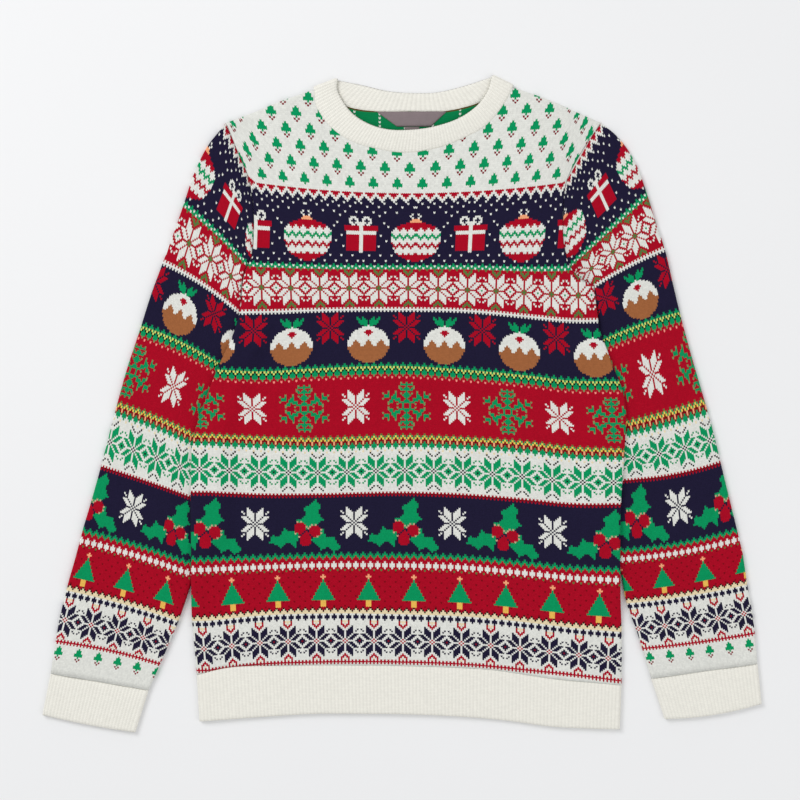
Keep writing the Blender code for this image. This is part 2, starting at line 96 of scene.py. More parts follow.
SIDE_RIGHT = (
    (-222.0, -294.5),
    (-223.5, -276.0),
    (-227.0, -235.0),
    (-227.5, -202.5),
    (-227.5, -162.5),
    (-228.0, -90.0),
    (-227.0, -51.5),
    (-222.5, -27.5),
    (-217.0, -10.5),
    (-207.5, 15.5),
    (-196.5, 42.5),
    (-181.0, 77.0),
    (-174.5, 101.0),
    (-169.5, 141.0),
    (-162.5, 157.0),
)
SIDE_LEFT = (
    (237.5, -305.5),
    (237.5, -244.5),
    (236.0, -211.0),
    (235.5, -183.0),
    (236.5, -105.5),
    (240.0, -51.5),
    (240.5, 0.5),
    (236.5, 18.0),
    (228.0, 37.5),
    (220.5, 59.0),
    (214.0, 76.0),
    (210.5, 100.0),
    (207.5, 127.0),
)
ARMHOLE_RIGHT = (
    (-162.5, 157.0),
    (-160.5, 175.5),
    (-160.0, 202.5),
    (-162.0, 224.0),
    (-165.0, 240.5),
    (-178.0, 272.5),
    (-190.0, 302.5),
)
ARMHOLE_LEFT = (
    (207.5, 127.0),
    (194.5, 132.5),
    (182.5, 145.5),
    (176.0, 164.5),
    (174.0, 202.5),
    (178.0, 240.5),
    (192.0, 267.5),
    (215.0, 302.5),
)
SHOULDER_RIGHT = (
    (-190.0, 302.5),
    (-161.0, 313.5),
    (-132.0, 325.5),
    (-95.0, 338.5),
)
SHOULDER_LEFT = (
    (119.5, 341.0),
    (150.0, 330.5),
    (170.5, 322.5),
    (192.0, 312.5),
    (215.0, 302.5),
)
NECK_FRONT = (
    (-95.0, 338.5),
    (-93.0, 321.0),
    (-85.5, 307.5),
    (-72.5, 293.5),
    (-57.0, 283.5),
    (-27.0, 274.0),
    (8.5, 270.0),
    (36.5, 274.5),
    (67.5, 286.0),
    (89.0, 298.0),
    (105.0, 315.0),
    (116.5, 334.0),
    (119.5, 341.0),
)
NECK_BACK = (
    (-95.0, 338.5),
    (-80.0, 330.0),
    (-55.5, 319.0),
    (-27.5, 315.0),
    (8.5, 315.0),
    (48.5, 315.5),
    (78.0, 322.5),
    (98.5, 331.0),
    (119.5, 341.0),
)
COLLAR_EDGE_FRONT = (
    (-69.0, 348.5),
    (-70.0, 340.5),
    (-66.0, 330.0),
    (-54.0, 313.0),
    (-34.5, 300.5),
    (-15.0, 295.0),
    (8.5, 294.5),
    (36.5, 298.5),
    (67.5, 310.5),
    (84.0, 324.0),
    (93.5, 339.5),
    (96.5, 352.0),
)
COLLAR_EDGE_BACK = (
    (-69.0, 348.5),
    (-46.0, 344.0),
    (-12.0, 336.5),
    (8.5, 335.0),
    (36.5, 335.5),
    (69.0, 343.0),
    (96.5, 352.0),
)
HEM_SEAM = (
    (-222.0, -294.5),
    (-190.0, -286.5),
    (-124.0, -284.5),
    (-2.0, -284.5),
    (97.0, -289.0),
    (163.0, -298.5),
    (237.5, -305.5),
)
HEM_EDGE = (
    (-219.0, -345.0),
    (-157.5, -340.5),
    (-90.5, -336.5),
    (-41.0, -336.5),
    (19.5, -337.5),
    (113.5, -344.0),
    (163.0, -350.5),
    (203.0, -352.5),
    (235.5, -353.5),
)
# Where each sleeve goes under the body's side, as shares of that side from the hem seam:
# lift_from, lift_full, under_from, under_full
UNDER_RIGHT = (0.107, 0.209, 0.215, 0.36)
UNDER_LEFT = (0.161, 0.25, 0.285, 0.42)
# The same at the underarm: under_full, under_to, lift_full, lift_to
UNDER_TOP = (0.80, 0.905, 0.914, 1.0)
# Sleeve sections that end under the body: outer_x, outer_y, share of the body's side where they end
HIDDEN_RIGHT = (
    (-190.0, 302.5, 1.0),
    (-210.5, 277.0, 0.99),
    (-224.0, 250.0, 0.975),
    (-236.5, 213.5, 0.955),
    (-247.0, 183.0, 0.915),
    (-259.0, 150.5, 0.86),
    (-271.0, 118.0, 0.80),
    (-284.0, 77.0, 0.725),
    (-297.0, 38.0, 0.64),
    (-309.0, -5.0, 0.555),
    (-325.5, -68.5, 0.42),
    (-335.0, -103.0, 0.345),
    (-344.0, -133.0, 0.275),
)
HIDDEN_LEFT = (
    (215.0, 302.5, 1.0),
    (234.0, 286.5, 0.99),
    (252.0, 260.0, 0.98),
    (265.5, 224.0, 0.965),
    (274.5, 195.0, 0.95),
    (284.5, 165.0, 0.92),
    (292.0, 133.0, 0.88),
    (301.0, 95.0, 0.82),
    (311.5, 56.0, 0.74),
    (322.5, 18.0, 0.66),
    (333.0, -18.0, 0.585),
    (349.0, -83.0, 0.45),
    (360.0, -128.0, 0.345),
)
# Sleeve sections that show from fold to fold: outer_x, outer_y, inner_x, inner_y
SHOWN_RIGHT = (
    (-353.0, -167.0, -229.5, -201.0),
    (-363.0, -202.5, -242.0, -237.0),
    (-370.0, -232.0, -252.5, -262.0),
    (-380.0, -293.0, -274.0, -311.0),
)
SHOWN_LEFT = (
    (368.5, -163.0, 236.8, -185.0),
    (373.5, -197.0, 243.0, -217.5),
    (379.0, -228.0, 252.5, -243.5),
    (384.5, -282.5, 269.5, -298.5),
)
# Cuff ends: outer_x, outer_y, inner_x, inner_y, sag of the middle below the line between them
CUFF_END_RIGHT = (-389.0, -337.5, -288.5, -356.5, 1.5)
CUFF_END_LEFT = (389.0, -325.5, 284.0, -342.0, 4.0)
CAP_BOW = (1.0, 0.62, 0.34, 0.15, 0.05, 0.0)
LABEL_OUTLINE = (
    (-27.5, 314.5),
    (-5.5, 298.5),
    (31.0, 298.5),
    (48.5, 314.8),
)
TAB_OUTLINE = (
    (3.0, 298.1),
    (3.0, 292.5),
    (18.5, 292.5),
    (18.5, 298.1),
)

# --- Where the knitted courses and wales lie ---
# The bands from the yoke down: name, courses, height
BAND_HEIGHTS = (
    ("zigzag", 5, 10.5),
    ("gifts", 34, 65.5),
    ("chain", 4, 8.0),
    ("stars", 22, 39.0),
    ("ticks", 3, 5.0),
    ("puddings", 31, 54.5),
    ("lime", 8, 17.5),
    ("snowflakes", 31, 59.0),
    ("peach", 9, 19.5),
    ("green_stars", 24, 43.5),
    ("red_rope", 3, 5.0),
    ("holly", 33, 60.5),
    ("crosses", 10, 21.0),
    ("trees", 22, 39.0),
    ("buff", 8, 15.0),
    ("navy_stars", 24, 41.5),
    ("rope", 3, 5.0),
    ("small_trees", 29, 52.0),
)
YOKE_END = 226.0
YOKE_COURSE = 2.1
LAST_COURSE = 1.8
BODY_MIDDLE = 8.0
# The yoke's courses rise from the middle to the shoulders, and steeply beside the armholes
YOKE_RISE = 4.2
YOKE_RISE_AT = 100.0
ARMHOLE_RISE = 0.75
ARMHOLE_FROM = 166.0
YOKE_FADE_COURSES = 48.0
# How far the yoke's top courses rise more between the middle and the shoulders, right and left
YOKE_SWELL = (5.0, 8.0)
YOKE_SWELL_WIDTH = 190.0
YOKE_SWELL_COURSES = 38.0
# How far a course lies above its middle, as the jumper is laid out, read off the photo's bands:
# course, and at each of SLANT_X
SLANT_X = (-210.0, -153.0, -100.0, 8.0, 65.0, 140.0, 180.0, 235.0)
SLANTS = (
    (30, (0, 0, 0, 0, 0, 0, 0, 0)),
    (41, (1, 1, 0, 0, 0, -3, -3, -3)),
    (54, (1, 1, 0, 0, -2, -5, -8, -6)),
    (66, (-4, -3, -1, 0, -1, -8, -12, -12)),
    (106, (-3, -6, -3, 0, -4, -11, -16, -17)),
    (142, (2, -1, -3, 0, -2, -7, -12, -14)),
    (172, (1, -2, -2, 0, -2, -8, -12, -12)),
    (212, (-4, -2, 0, 0, -2, -9, -13, -15)),
    (245, (-7, -1, 1, 0, -2, -9, -14, -19)),
    (272, (-9, -2, 0, 0, -2, -9, -13, -20)),
)
# Width of a wale on each half, and how much narrower it gets 100 wales out:
# course, middle_x, right_wale, right_narrows, left_wale, left_narrows
BODY_WALES = (
    (-38, 3.0, 2.27, 0.0, 2.60, 0.42),
    (0, 4.0, 2.21, 0.26, 2.26, 0.31),
    (20, 6.0, 2.06, 0.09, 2.09, 0.15),
    (41, 4.5, 2.02, 0.04, 2.08, 0.17),
    (75, 5.0, 1.96, 0.0, 1.98, 0.07),
    (103, 5.0, 1.95, -0.06, 1.91, -0.04),
    (143, 5.0, 1.95, -0.02, 1.94, -0.06),
    (212, 5.0, 1.95, -0.03, 1.97, -0.04),
    (273, 5.0, 1.97, 0.06, 1.97, 0.0),
)
# Courses of the sleeves, read where each band meets the sleeve's outer edge and its inner one:
# course, outer_x, outer_y, inner_x, inner_y, bow to the cuff, middle wale, wale's width
SLEEVE_COURSES_RIGHT = (
    (0, -191, 302, -164, 240, -1, -4, 1.90),
    (41, -235, 214, -168, 150, -2, 1, 1.85),
    (66, -258, 152, -176, 98, -4, 2, 1.75),
    (103, -283, 78, -198, 38, -3, -1, 1.70),
    (142, -308, -7, -224, -41, -2, 0, 1.65),
    (172, -325, -69, -227, -103, -1, 0, 1.70),
    (243, -363, -203, -242, -236, -2, 1, 1.80),
    (291, -380, -293, -275, -312, -3, -1, 1.80),
)
SLEEVE_COURSES_LEFT = (
    (0, 215, 305, 178, 240, 0, 4, 1.75),
    (41, 265, 225, 182, 148, 0, -2, 1.85),
    (66, 282, 166, 208, 127, -2, 0, 1.80),
    (103, 301, 93, 221, 65, -2, -1, 1.70),
    (146, 333, -15, 240, -40, 2, 2, 1.75),
    (174, 345, -68, 237, -87, 4, -1, 1.80),
    (207, 361, -134, 236, -156, 4, -1, 1.80),
    (243, 372, -197, 243, -217, 2, 0, 1.80),
    (291, 384, -283, 269, -297, 1, 0, 1.80),
)


def smooth(rows, steps=8):
    """A dense line on a cubic through the rows, spaced by their distance from each other."""
    points = np.array(rows, float)
    at = np.concatenate([[0.0], np.cumsum(np.linalg.norm(np.diff(points, axis=0), axis=1))])
    slope = np.gradient(points, at, axis=0)
    fine = np.interp(np.arange((len(at) - 1) * steps + 1) / steps, np.arange(len(at)), at)
    i = np.clip(np.searchsorted(at, fine, side="right") - 1, 0, len(at) - 2)
    span = (at[i + 1] - at[i])[:, None]
    s = (fine - at[i])[:, None] / span
    start = (1 + 2 * s) * (1 - s) ** 2 * points[i] + s * (1 - s) ** 2 * span * slope[i]
    end = s**2 * (3 - 2 * s) * points[i + 1] + s**2 * (s - 1) * span * slope[i + 1]
    return start + end


def along(line, shares):
    """Points of a line at shares of its length."""
    line = np.asarray(line, float)
    at = np.concatenate([[0.0], np.cumsum(np.hypot(*np.diff(line, axis=0).T))])
    where = np.asarray(shares, float) * at[-1]
    return np.stack([np.interp(where, at, line[:, 0]), np.interp(where, at, line[:, 1])], axis=-1)


def at_heights(line, shares):
    """Points of a rising line at shares of its height."""
    y = line[0, 1] + np.asarray(shares, float) * (line[-1, 1] - line[0, 1])
    return np.stack([np.interp(y, line[:, 1], line[:, 0]), y], axis=1)


def ramp(value, start, end):
    """A soft step from 0 at start to 1 at end."""
    s = np.clip((np.asarray(value, float) - start) / (end - start), 0.0, 1.0)
    return s * s * (3 - 2 * s)


def line_ramp(value, start, end):
    return np.clip((np.asarray(value, float) - start) / (end - start), 0.0, 1.0)


def overlap_at(share, under):
    inside = ramp(share, under[2], under[3]) * (1 - ramp(share, UNDER_TOP[0], UNDER_TOP[1]))
    return OVERLAP * inside - 2 * SEAM_GAP * (1 - inside)


def lift_at(share, under):
    return LIFT * line_ramp(share, under[0], under[1]) * (1 - line_ramp(share, UNDER_TOP[2], UNDER_TOP[3]))


def fold_round(distance, radius=FOLD_RADIUS):
    """How far a round fold has come in from its level to the layer's own height: 0 at the fold, 1 inside."""
    s = 1 - np.clip(np.asarray(distance, float) / radius, 0.0, 1.0)
    return np.sqrt(np.clip(1 - s * s, 0.0, 1.0))


# --- Knitting coordinates ---
COURSE_TABLE = np.arange(-60.0, 320.5, 0.5)
SLEEVE_FIRST = -5.0
BODY_LAST_COURSE = 274.8


def column(rows, k):
    return np.array([row[k] for row in rows], float)


def course_heights():
    """Height of each course of COURSE_TABLE at the middle of the body."""
    courses = np.cumsum([0.0] + [band[1] for band in BAND_HEIGHTS])
    heights = YOKE_END - np.cumsum([0.0] + [band[2] for band in BAND_HEIGHTS])
    middle = np.interp(COURSE_TABLE, courses, heights)
    middle -= np.clip(COURSE_TABLE, None, 0) * YOKE_COURSE
    return middle - np.clip(COURSE_TABLE - courses[-1], 0, None) * LAST_COURSE


def course_bows(x):
    """How far each course of COURSE_TABLE lies above its middle, a column for each X."""
    away = np.abs(x - BODY_MIDDLE)
    rise = YOKE_RISE * (away / YOKE_RISE_AT) ** 2 + ARMHOLE_RISE * np.clip(away - ARMHOLE_FROM, 0, None)
    fade = np.clip(1 - COURSE_TABLE / YOKE_FADE_COURSES, 0, 1)[:, None]
    swell = np.where(x < BODY_MIDDLE, YOKE_SWELL[0], YOKE_SWELL[1])
    swell = swell * np.sin(np.pi * np.clip(away / YOKE_SWELL_WIDTH, 0, 1))
    high = np.clip(-COURSE_TABLE / YOKE_SWELL_COURSES, 0, 1)[:, None]
    lines = smooth(np.column_stack([SLANT_X, np.array([row[1] for row in SLANTS]).T]), 4)
    slants = np.stack([np.interp(x, lines[:, 0], lines[:, k + 1]) for k in range(len(SLANTS))])
    at = column(SLANTS, 0)
    slant = np.stack([np.interp(COURSE_TABLE, at, line) for line in slants.T], axis=1)
    return rise * fade + swell * high + slant


def body_stitches(x, y):
    """Wale and course at points of the body."""
    x, y = np.asarray(x, float).ravel(), np.asarray(y, float).ravel()
    lines = course_heights()[:, None] + course_bows(x)
    course = np.array([np.interp(-y[i], -lines[:, i], COURSE_TABLE) for i in range(len(x))])
    course = np.minimum(course, BODY_LAST_COURSE)
    rows = [np.interp(course, column(BODY_WALES, 0), column(BODY_WALES, k)) for k in range(1, 6)]
    middle, right_wale, right_narrows, left_wale, left_narrows = rows
    away = np.abs(x - middle)
    width = np.where(x < middle, right_wale, left_wale)
    narrows = np.where(x < middle, right_narrows, left_narrows) / 100
    wale = 2 * away / (width + np.sqrt(width**2 - 4 * narrows * away))
    return wale * np.sign(x - middle), course


def sleeve_stitches(x, y, courses, outward):
    """Wale and course at points of a sleeve. Wales are counted towards the wearer's left."""
    x, y = np.asarray(x, float).ravel(), np.asarray(y, float).ravel()
    chosen = COURSE_TABLE > SLEEVE_FIRST
    table, depth = COURSE_TABLE[chosen], -course_heights()[chosen]
    at = np.interp(column(courses, 0), table, depth)
    lines = []
    for k in range(1, len(courses[0])):
        values = column(courses, k)
        line = np.interp(depth, at, values)
        if k <= 4:
            line += np.clip(depth - at[-1], 0, None) * (values[-1] - values[-2]) / (at[-1] - at[-2])
            line += np.clip(depth - at[0], None, 0) * (values[1] - values[0]) / (at[1] - at[0])
        lines.append(line)
    outer_x, outer_y, inner_x, inner_y, bow, middle_wale, width = lines
    step_x, step_y = inner_x - outer_x, inner_y - outer_y
    length = np.hypot(step_x, step_y)
    course, wale = np.empty_like(x), np.empty_like(x)
    for i in range(len(x)):
        off_x, off_y = x[i] - outer_x, y[i] - outer_y
        share = (off_x * step_x + off_y * step_y) / length**2
        bulge = bow * 4 * np.clip(share * (1 - share), 0, None)
        side = (off_x * step_y - off_y * step_x) / length * outward + bulge
        k = max(int(np.argmax(side > 0)), 1) if (side > 0).any() else len(side) - 1
        fall = side[k - 1] - side[k]
        part = np.clip(side[k - 1] / fall, 0.0, 1.0) if fall else 0.0
        course[i] = table[k - 1] + part * (table[k] - table[k - 1])
        across = (1 - part) * share[k - 1] + part * share[k]
        wale[i] = middle_wale[k] + (0.5 - across) * length[k] * outward / width[k]
    return wale, course


# --- Meshes ---
def add_mesh(name, points, faces, uvs, materials, face_material=None, rim=None):
    """A smooth mesh from points in millimetres, with stitch coordinates for each corner."""
    points = (np.asarray(points, float) - (*FOOTPRINT_CENTRE, 0.0)) * MM
    mesh = bpy.data.meshes.new(name)
    mesh.from_pydata(points.tolist(), [], faces)
    layer = mesh.uv_layers.new(name="stitches")
    corners = np.empty(len(mesh.loops), int)
    mesh.loops.foreach_get("vertex_index", corners)
    layer.data.foreach_set("uv", np.asarray(uvs, float)[corners].ravel())
    for material in materials:
        mesh.materials.append(material)
    if face_material is not None:
        mesh.polygons.foreach_set("material_index", np.asarray(face_material, int))
    if rim is not None:
        attribute = mesh.attributes.new("rim", "FLOAT", "POINT")
        attribute.data.foreach_set("value", np.asarray(rim, float))
    mesh.shade_smooth()
    mesh.validate()
    piece = bpy.data.objects.new(name, mesh)
    bpy.context.scene.collection.objects.link(piece)
    return piece


def shell(upper, lower):
    """A closed shell between two grids of points. Returns points, faces and the number of upper faces."""
    rows, columns = upper.shape[:2]
    points = np.concatenate([upper.reshape(-1, 3), lower.reshape(-1, 3)])
    count = rows * columns
    index = np.arange(count).reshape(rows, columns)
    quads = np.stack([index[:-1, :-1], index[:-1, 1:], index[1:, 1:], index[1:, :-1]], -1).reshape(-1, 4)
    faces = [tuple(q) for q in quads.tolist()]
    faces += [tuple(q) for q in (quads[:, ::-1] + count).tolist()]
    ring = np.concatenate([index[0, :], index[1:, -1], index[-1, -2::-1], index[-2:0:-1, 0]])
    after = np.roll(ring, -1)
    faces += [(int(b), int(a), int(a) + count, int(b) + count) for a, b in zip(ring, after)]
    return points, faces, len(quads)


# Distances of the columns beside a side fold, and rows added under the shoulder, as shares of the last row
EDGE_OFFSETS = (0.0, 0.25, 0.7, 1.4, 2.3, 3.4, 5.5, 8.5)
TOP_ROWS = (0.55, 0.3, 0.14, 0.05)
SIDE_ROWS = 118
ARM_ROWS = 36
SHOULDER_COLUMNS = 22
NECK_COLUMNS = 60


def body_plan(neck):
    """The body's plan as a grid of points, with distances to side folds and shoulders, and side shares."""
    neck_line = smooth(neck)
    shoulders = (smooth(SHOULDER_RIGHT), smooth(SHOULDER_LEFT))
    shares = np.linspace(0.0, 1.0, SIDE_ROWS)
    arm = np.linspace(0.0, 1.0, ARM_ROWS + 1)[1:]
    right = np.concatenate([at_heights(smooth(SIDE_RIGHT), shares), along(smooth(ARMHOLE_RIGHT), arm)])
    left = np.concatenate([at_heights(smooth(SIDE_LEFT), shares), along(smooth(ARMHOLE_LEFT), arm)])
    hem = smooth(HEM_SEAM)
    heights = (right[:, 1] + left[:, 1]) / 2
    levels = (heights - heights[0]) / (heights[-1] - heights[0])
    extra = levels[-1] - (levels[-1] - levels[-2]) * np.array(TOP_ROWS)
    at_row = np.interp(np.concatenate([levels[:-1], extra, [1.0]]), levels, np.arange(len(levels)))
    levels = np.concatenate([levels[:-1], extra, [1.0]])
    index = np.arange(len(right))
    right = np.stack([np.interp(at_row, index, right[:, k]) for k in (0, 1)], 1)
    left = np.stack([np.interp(at_row, index, left[:, k]) for k in (0, 1)], 1)

    turn = np.pi * np.linspace(0.0, 1.0, NECK_COLUMNS + 1)
    neck_x = neck[0][0] + (neck[-1][0] - neck[0][0]) * (1 - np.cos(turn)) / 2

    def row_shares(i):
        """Shares of the width of each column of a row. Columns below the neck keep their X."""
        start, width = right[i, 0], left[i, 0] - right[i, 0]
        edge, middle = np.array(EDGE_OFFSETS) / width, (neck_x - start) / width
        return np.concatenate([
            edge,
            np.linspace(edge[-1], middle[0], SHOULDER_COLUMNS + 2)[1:-1],
            middle,
            np.linspace(middle[-1], 1 - edge[-1], SHOULDER_COLUMNS + 2)[1:-1],
            1 - edge[::-1],
        ]), width

    def chord(first, last, u):
        return (1 - u)[:, None] * first + u[:, None] * last

    top, _ = row_shares(-1)
    place = np.arange(len(top)) - len(EDGE_OFFSETS) - SHOULDER_COLUMNS
    before_neck, after_neck = place <= 0, place >= NECK_COLUMNS
    neck_from, neck_to = top[place == 0][0], top[place == NECK_COLUMNS][0]
    on_right = along(shoulders[0], np.clip(top / neck_from, 0, 1))
    on_left = along(shoulders[1], np.clip((top - neck_to) / (1 - neck_to), 0, 1))
    top_x = np.interp(top, (0, 1), (right[-1, 0], left[-1, 0]))
    on_neck = np.stack([top_x, np.interp(top_x, neck_line[:, 0], neck_line[:, 1])], axis=1)
    top_line = np.where(after_neck[:, None], on_left, on_neck)
    top_line = np.where(before_neck[:, None], on_right, top_line)
    rise = top_line - chord(right[-1], left[-1], top)

    grid, side, share_rows = [], [], []
    for i, level in enumerate(levels):
        u, width = row_shares(i)
        fall = along(hem, u) - chord(hem[0], hem[-1], u)
        grid.append(chord(right[i], left[i], u) + (1 - level) * fall + level * rise)
        side.append(np.stack([u * width, (1 - u) * width], 1))
        share_rows.append(min(at_row[i] / (SIDE_ROWS - 1), 1.0))
    grid, side = np.array(grid), np.array(side)
    beside = at_row <= SIDE_ROWS - 1
    from_top = np.hypot(*(grid - grid[-1:]).transpose(2, 0, 1))
    return grid, side, np.array(share_rows), beside, before_neck | after_neck, from_top


def lifted(side, shares, beside):
    """How high each point is lifted by the sleeves under the body's sides."""
    lift = np.zeros(side.shape[:2])
    for k, under in ((0, UNDER_RIGHT), (1, UNDER_LEFT)):
        reach = np.clip(overlap_at(shares, under), 0, None) + LIFT_MARGIN
        rise = lift_at(shares, under) * beside
        s = np.clip((side[:, :, k] - reach[:, None]) / LIFT_RAMP, 0, 1)
        lift += rise[:, None] * (1 - s * s * (3 - 2 * s))
    return lift


# Soft creases: from_x, from_y, to_x, to_y, half width, height (troughs below zero)
CREASES_FRONT = (
    (-176.0, 92.0, -138.0, 118.0, 10.0, 1.8),
    (-172.0, 74.0, -120.0, 96.0, 9.0, -1.1),
    (-196.0, 40.0, -140.0, 62.0, 13.0, 1.2),
    (206.0, 112.0, 178.0, 92.0, 8.0, 2.2),
    (208.0, 96.0, 170.0, 78.0, 9.0, -1.3),
    (216.0, 66.0, 160.0, 44.0, 14.0, 1.4),
    (228.0, 40.0, 176.0, 18.0, 13.0, -0.9),
    (-214.0, -30.0, -150.0, -8.0, 18.0, 0.9),
    (232.0, -20.0, 150.0, -48.0, 20.0, 1.0),
    (-120.0, -150.0, -40.0, -176.0, 22.0, 0.9),
    (60.0, -120.0, 170.0, -150.0, 24.0, 0.9),
    (-60.0, 30.0, 60.0, 20.0, 26.0, 0.7),
    (-200.0, -230.0, -120.0, -250.0, 18.0, 0.8),
    (110.0, -236.0, 220.0, -262.0, 16.0, 0.9),
    (-140.0, 180.0, -60.0, 168.0, 18.0, 0.8),
    (70.0, 176.0, 150.0, 190.0, 18.0, 0.8),
)
CREASES_SLEEVE_RIGHT = (
    (-246.0, 170.0, -190.0, 120.0, 10.0, 1.6),
    (-262.0, 112.0, -206.0, 66.0, 12.0, -1.0),
    (-290.0, 40.0, -226.0, 10.0, 13.0, 1.4),
    (-322.0, -60.0, -240.0, -88.0, 16.0, 1.0),
    (-344.0, -140.0, -262.0, -168.0, 18.0, -0.8),
    (-368.0, -232.0, -280.0, -252.0, 16.0, 1.0),
)
CREASES_SLEEVE_LEFT = (
    (272.0, 180.0, 214.0, 138.0, 10.0, 1.6),
    (286.0, 130.0, 226.0, 92.0, 12.0, -1.0),
    (312.0, 46.0, 242.0, 14.0, 14.0, 1.3),
    (340.0, -60.0, 258.0, -80.0, 18.0, 1.0),
    (362.0, -150.0, 262.0, -170.0, 18.0, -0.8),
    (376.0, -226.0, 280.0, -246.0, 16.0, 1.0),
)


# How much a crease bends, as a share of its half width, and how far its ends fade past and before them
CREASE_BEND = 0.5
CREASE_FADE = 0.25
# Slight unevenness of loose cloth. Swell: height, length in X and Y for one radian, and its start in each.
# Ripples: height, length in X and Y for one radian, start.
SWELL = (0.30, 31.0, 43.0, 0.7, 1.1)
RIPPLES = (
    (0.22, 17.0, 29.0, 2.0),
    (0.14, 9.5, -21.0, 0.0),
)


def creased(x, y, creases):
    """Height that the creases add at points."""
    total = np.zeros(np.shape(x))
    for x0, y0, x1, y1, half, height in creases:
        length = math.hypot(x1 - x0, y1 - y0)
        ux, uy = (x1 - x0) / length, (y1 - y0) / length
        s = ((x - x0) * ux + (y - y0) * uy) / length
        bend = half * CREASE_BEND * np.sin(math.pi * s)
        t = (x - x0) * -uy + (y - y0) * ux - bend
        ends = ramp(s, -CREASE_FADE, CREASE_FADE) * (1 - ramp(s, 1 - CREASE_FADE, 1 + CREASE_FADE))
        total += height * ends * np.exp(-((t / half) ** 2))
    return total


def waves(x, y):
    """Height of the slight unevenness at points."""
    height, long_x, long_y, start_x, start_y = SWELL
    total = height * np.sin(x / long_x + start_x) * np.sin(y / long_y + start_y)
    for height, long_x, long_y, start in RIPPLES:
        total = total + height * np.sin(x / long_x + y / long_y + start)
    return total


# --- Charts ---
# Each line is a course. N navy, R red, W white, G green, K black, Y amber, L lime, O peach, B brown,
# D dark red, C buff, P pink, E beige, V olive, S sage, M pale yellow. Mirrored charts read from the motif's
# middle outwards.
LETTERS = "NRWGKYLOBDCPEVSM"
PALETTE = {
    "N": (31, 27, 54),
    "R": (174, 8, 36),
    "W": (232, 233, 227),
    "G": (6, 152, 94),
    "K": (22, 18, 18),
    "Y": (242, 190, 90),
    "L": (220, 226, 118),
    "O": (250, 172, 126),
    "B": (164, 102, 62),
    "D": (128, 8, 22),
    "C": (238, 220, 180),
    "P": (250, 150, 138),
    "E": (200, 170, 140),
    "V": (84, 124, 66),
    "S": (118, 150, 96),
    "M": (242, 210, 92),
}

STAR_QUARTER = (
    "....X...",
    "...XX...",
    "..XXX..X",
    ".XXXX.X.",
    ".XXXX...",
    ".XXX.XXX",
    ".XX.XXX.",
    ".X.XXX..",
    "X.XXX...",
    ".X......",
)
SMALL_TREE = (1, 2, 2, 3, 3, 1)


def blank(rows, width, letter):
    return [[letter] * width for _ in range(rows)]


def put(chart, motif, top, left, step=1, letter=None):
    """Lay a motif's lines over a chart; dots leave the chart as it is."""
    for i, line in enumerate(motif):
        for j, mark in enumerate(line):
            row, place = top + i, left + step * j
            if mark != "." and 0 <= row < len(chart) and 0 <= place < len(chart[row]):
                chart[row][place] = letter if letter and mark == "X" else mark


def fill(chart, places, letter):
    """Give single stitches, as rows and places, a yarn."""
    for row, place in places:
        chart[row][place] = letter


def star(chart, middle, left, letter, step=1):
    """The eight-pointed star on its middle row."""
    put(chart, STAR_QUARTER, middle + 1 - len(STAR_QUARTER), left, step, letter)
    put(chart, STAR_QUARTER[::-1], middle, left, step, letter)


def diamond(chart, middle, place, letter, centre):
    """A diamond five wide with its own middle, at the right end of a mirrored chart."""
    for row in range(-2, 3):
        for back in range(3 - abs(row)):
            chart[middle + row][place - back] = letter
    chart[middle][place] = centre


def small_tree(chart, top, place, step):
    """A tree six courses high with a dark tick below it, on one half of a mirrored chart."""
    for k, half in enumerate(SMALL_TREE):
        for m in range(half):
            chart[top + k][place + step * m] = "G"
    below = top + len(SMALL_TREE)
    chart[below][place + step] = "D"
    chart[(below + 1) % len(chart)][place] = "D"


YOKE_COURSES = 16


def yoke_chart():
    chart = blank(YOKE_COURSES, 7, "W")
    small_tree(chart, 1, 6, -1)
    small_tree(chart, 9, 0, 1)
    return chart


ZIGZAG = ("RRRW", "RRWW", "RWWN", "WWNN", "WNNN")
SNOW = (
    (0, (1, 7, 13, 19, 25)),
    (2, (4, 10, 16, 22, 28)),
    (5, (1, 7, 13, 19)),
    (7, (10,)),
    (11, (12,)),
    (13, (14,)),
    (18, (10,)),
    (21, (13,)),
    (24, (9,)),
    (29, (4, 10, 16)),
    (32, (1, 7, 13, 19, 25)),
)
GIFT = (
    "..WWW.",
    ".WWNWW",
    ".WNNNW",
    "WWWNWW",
    "WW.WW.",
    *["WRRRRRRRR"] * 3,
    *["WWWWWWWW"] * 2,
    *["WRRRRRRR"] * 9,
    "W",
)
BAUBLE = (
    "NW",
    "NNW",
    "NW",
    "OO",
    "OOO",
    "RRRRR",
    "RRRRRRRR",
    "RRRRRRRRRR",
    "RRWRRRWRRRW",
    "RWWWRWWWRWWW",
    "WWWWWWWWWWWWW",
    "GWWWGWWWGWWWG",
    "GGWGGGWGGGWGG",
    "WGGGWGGGWGGGW",
    "WWGWWWGWWWGWW",
    "WWWWWWWWWWWWW",
    "RWWWRWWWRWWWR",
    "RRWRRRWRRRWR",
    "WRRRWRRRWRRR",
    "WWRWWWRWWWRW",
    "WWWWWWWWWWW",
    "WWWWWWWWWWW",
    "RWWRWWRWWR",
    "RRRRRRRRR",
    "RRRRRRR",
    "RRRRR",
    "RR",
)


def gift_chart():
    chart = blank(34, 29, "N")
    for row, places in SNOW:
        fill(chart, [(row, place) for place in places], "W")
    put(chart, GIFT, 8, 0)
    put(chart, BAUBLE, 6, 28, -1)
    return chart


# Olive stitches above and below the white star on red, and in its middle: row and place
RED_STAR_OLIVE = ((0, 1), (0, 2), (1, 0), (1, 1), (2, 0), (9, 0), (10, 0), (10, 1), (11, 0))
RED_STAR_OLIVE += ((18, 0), (19, 0), (19, 1), (20, 1), (20, 2), (21, 2))


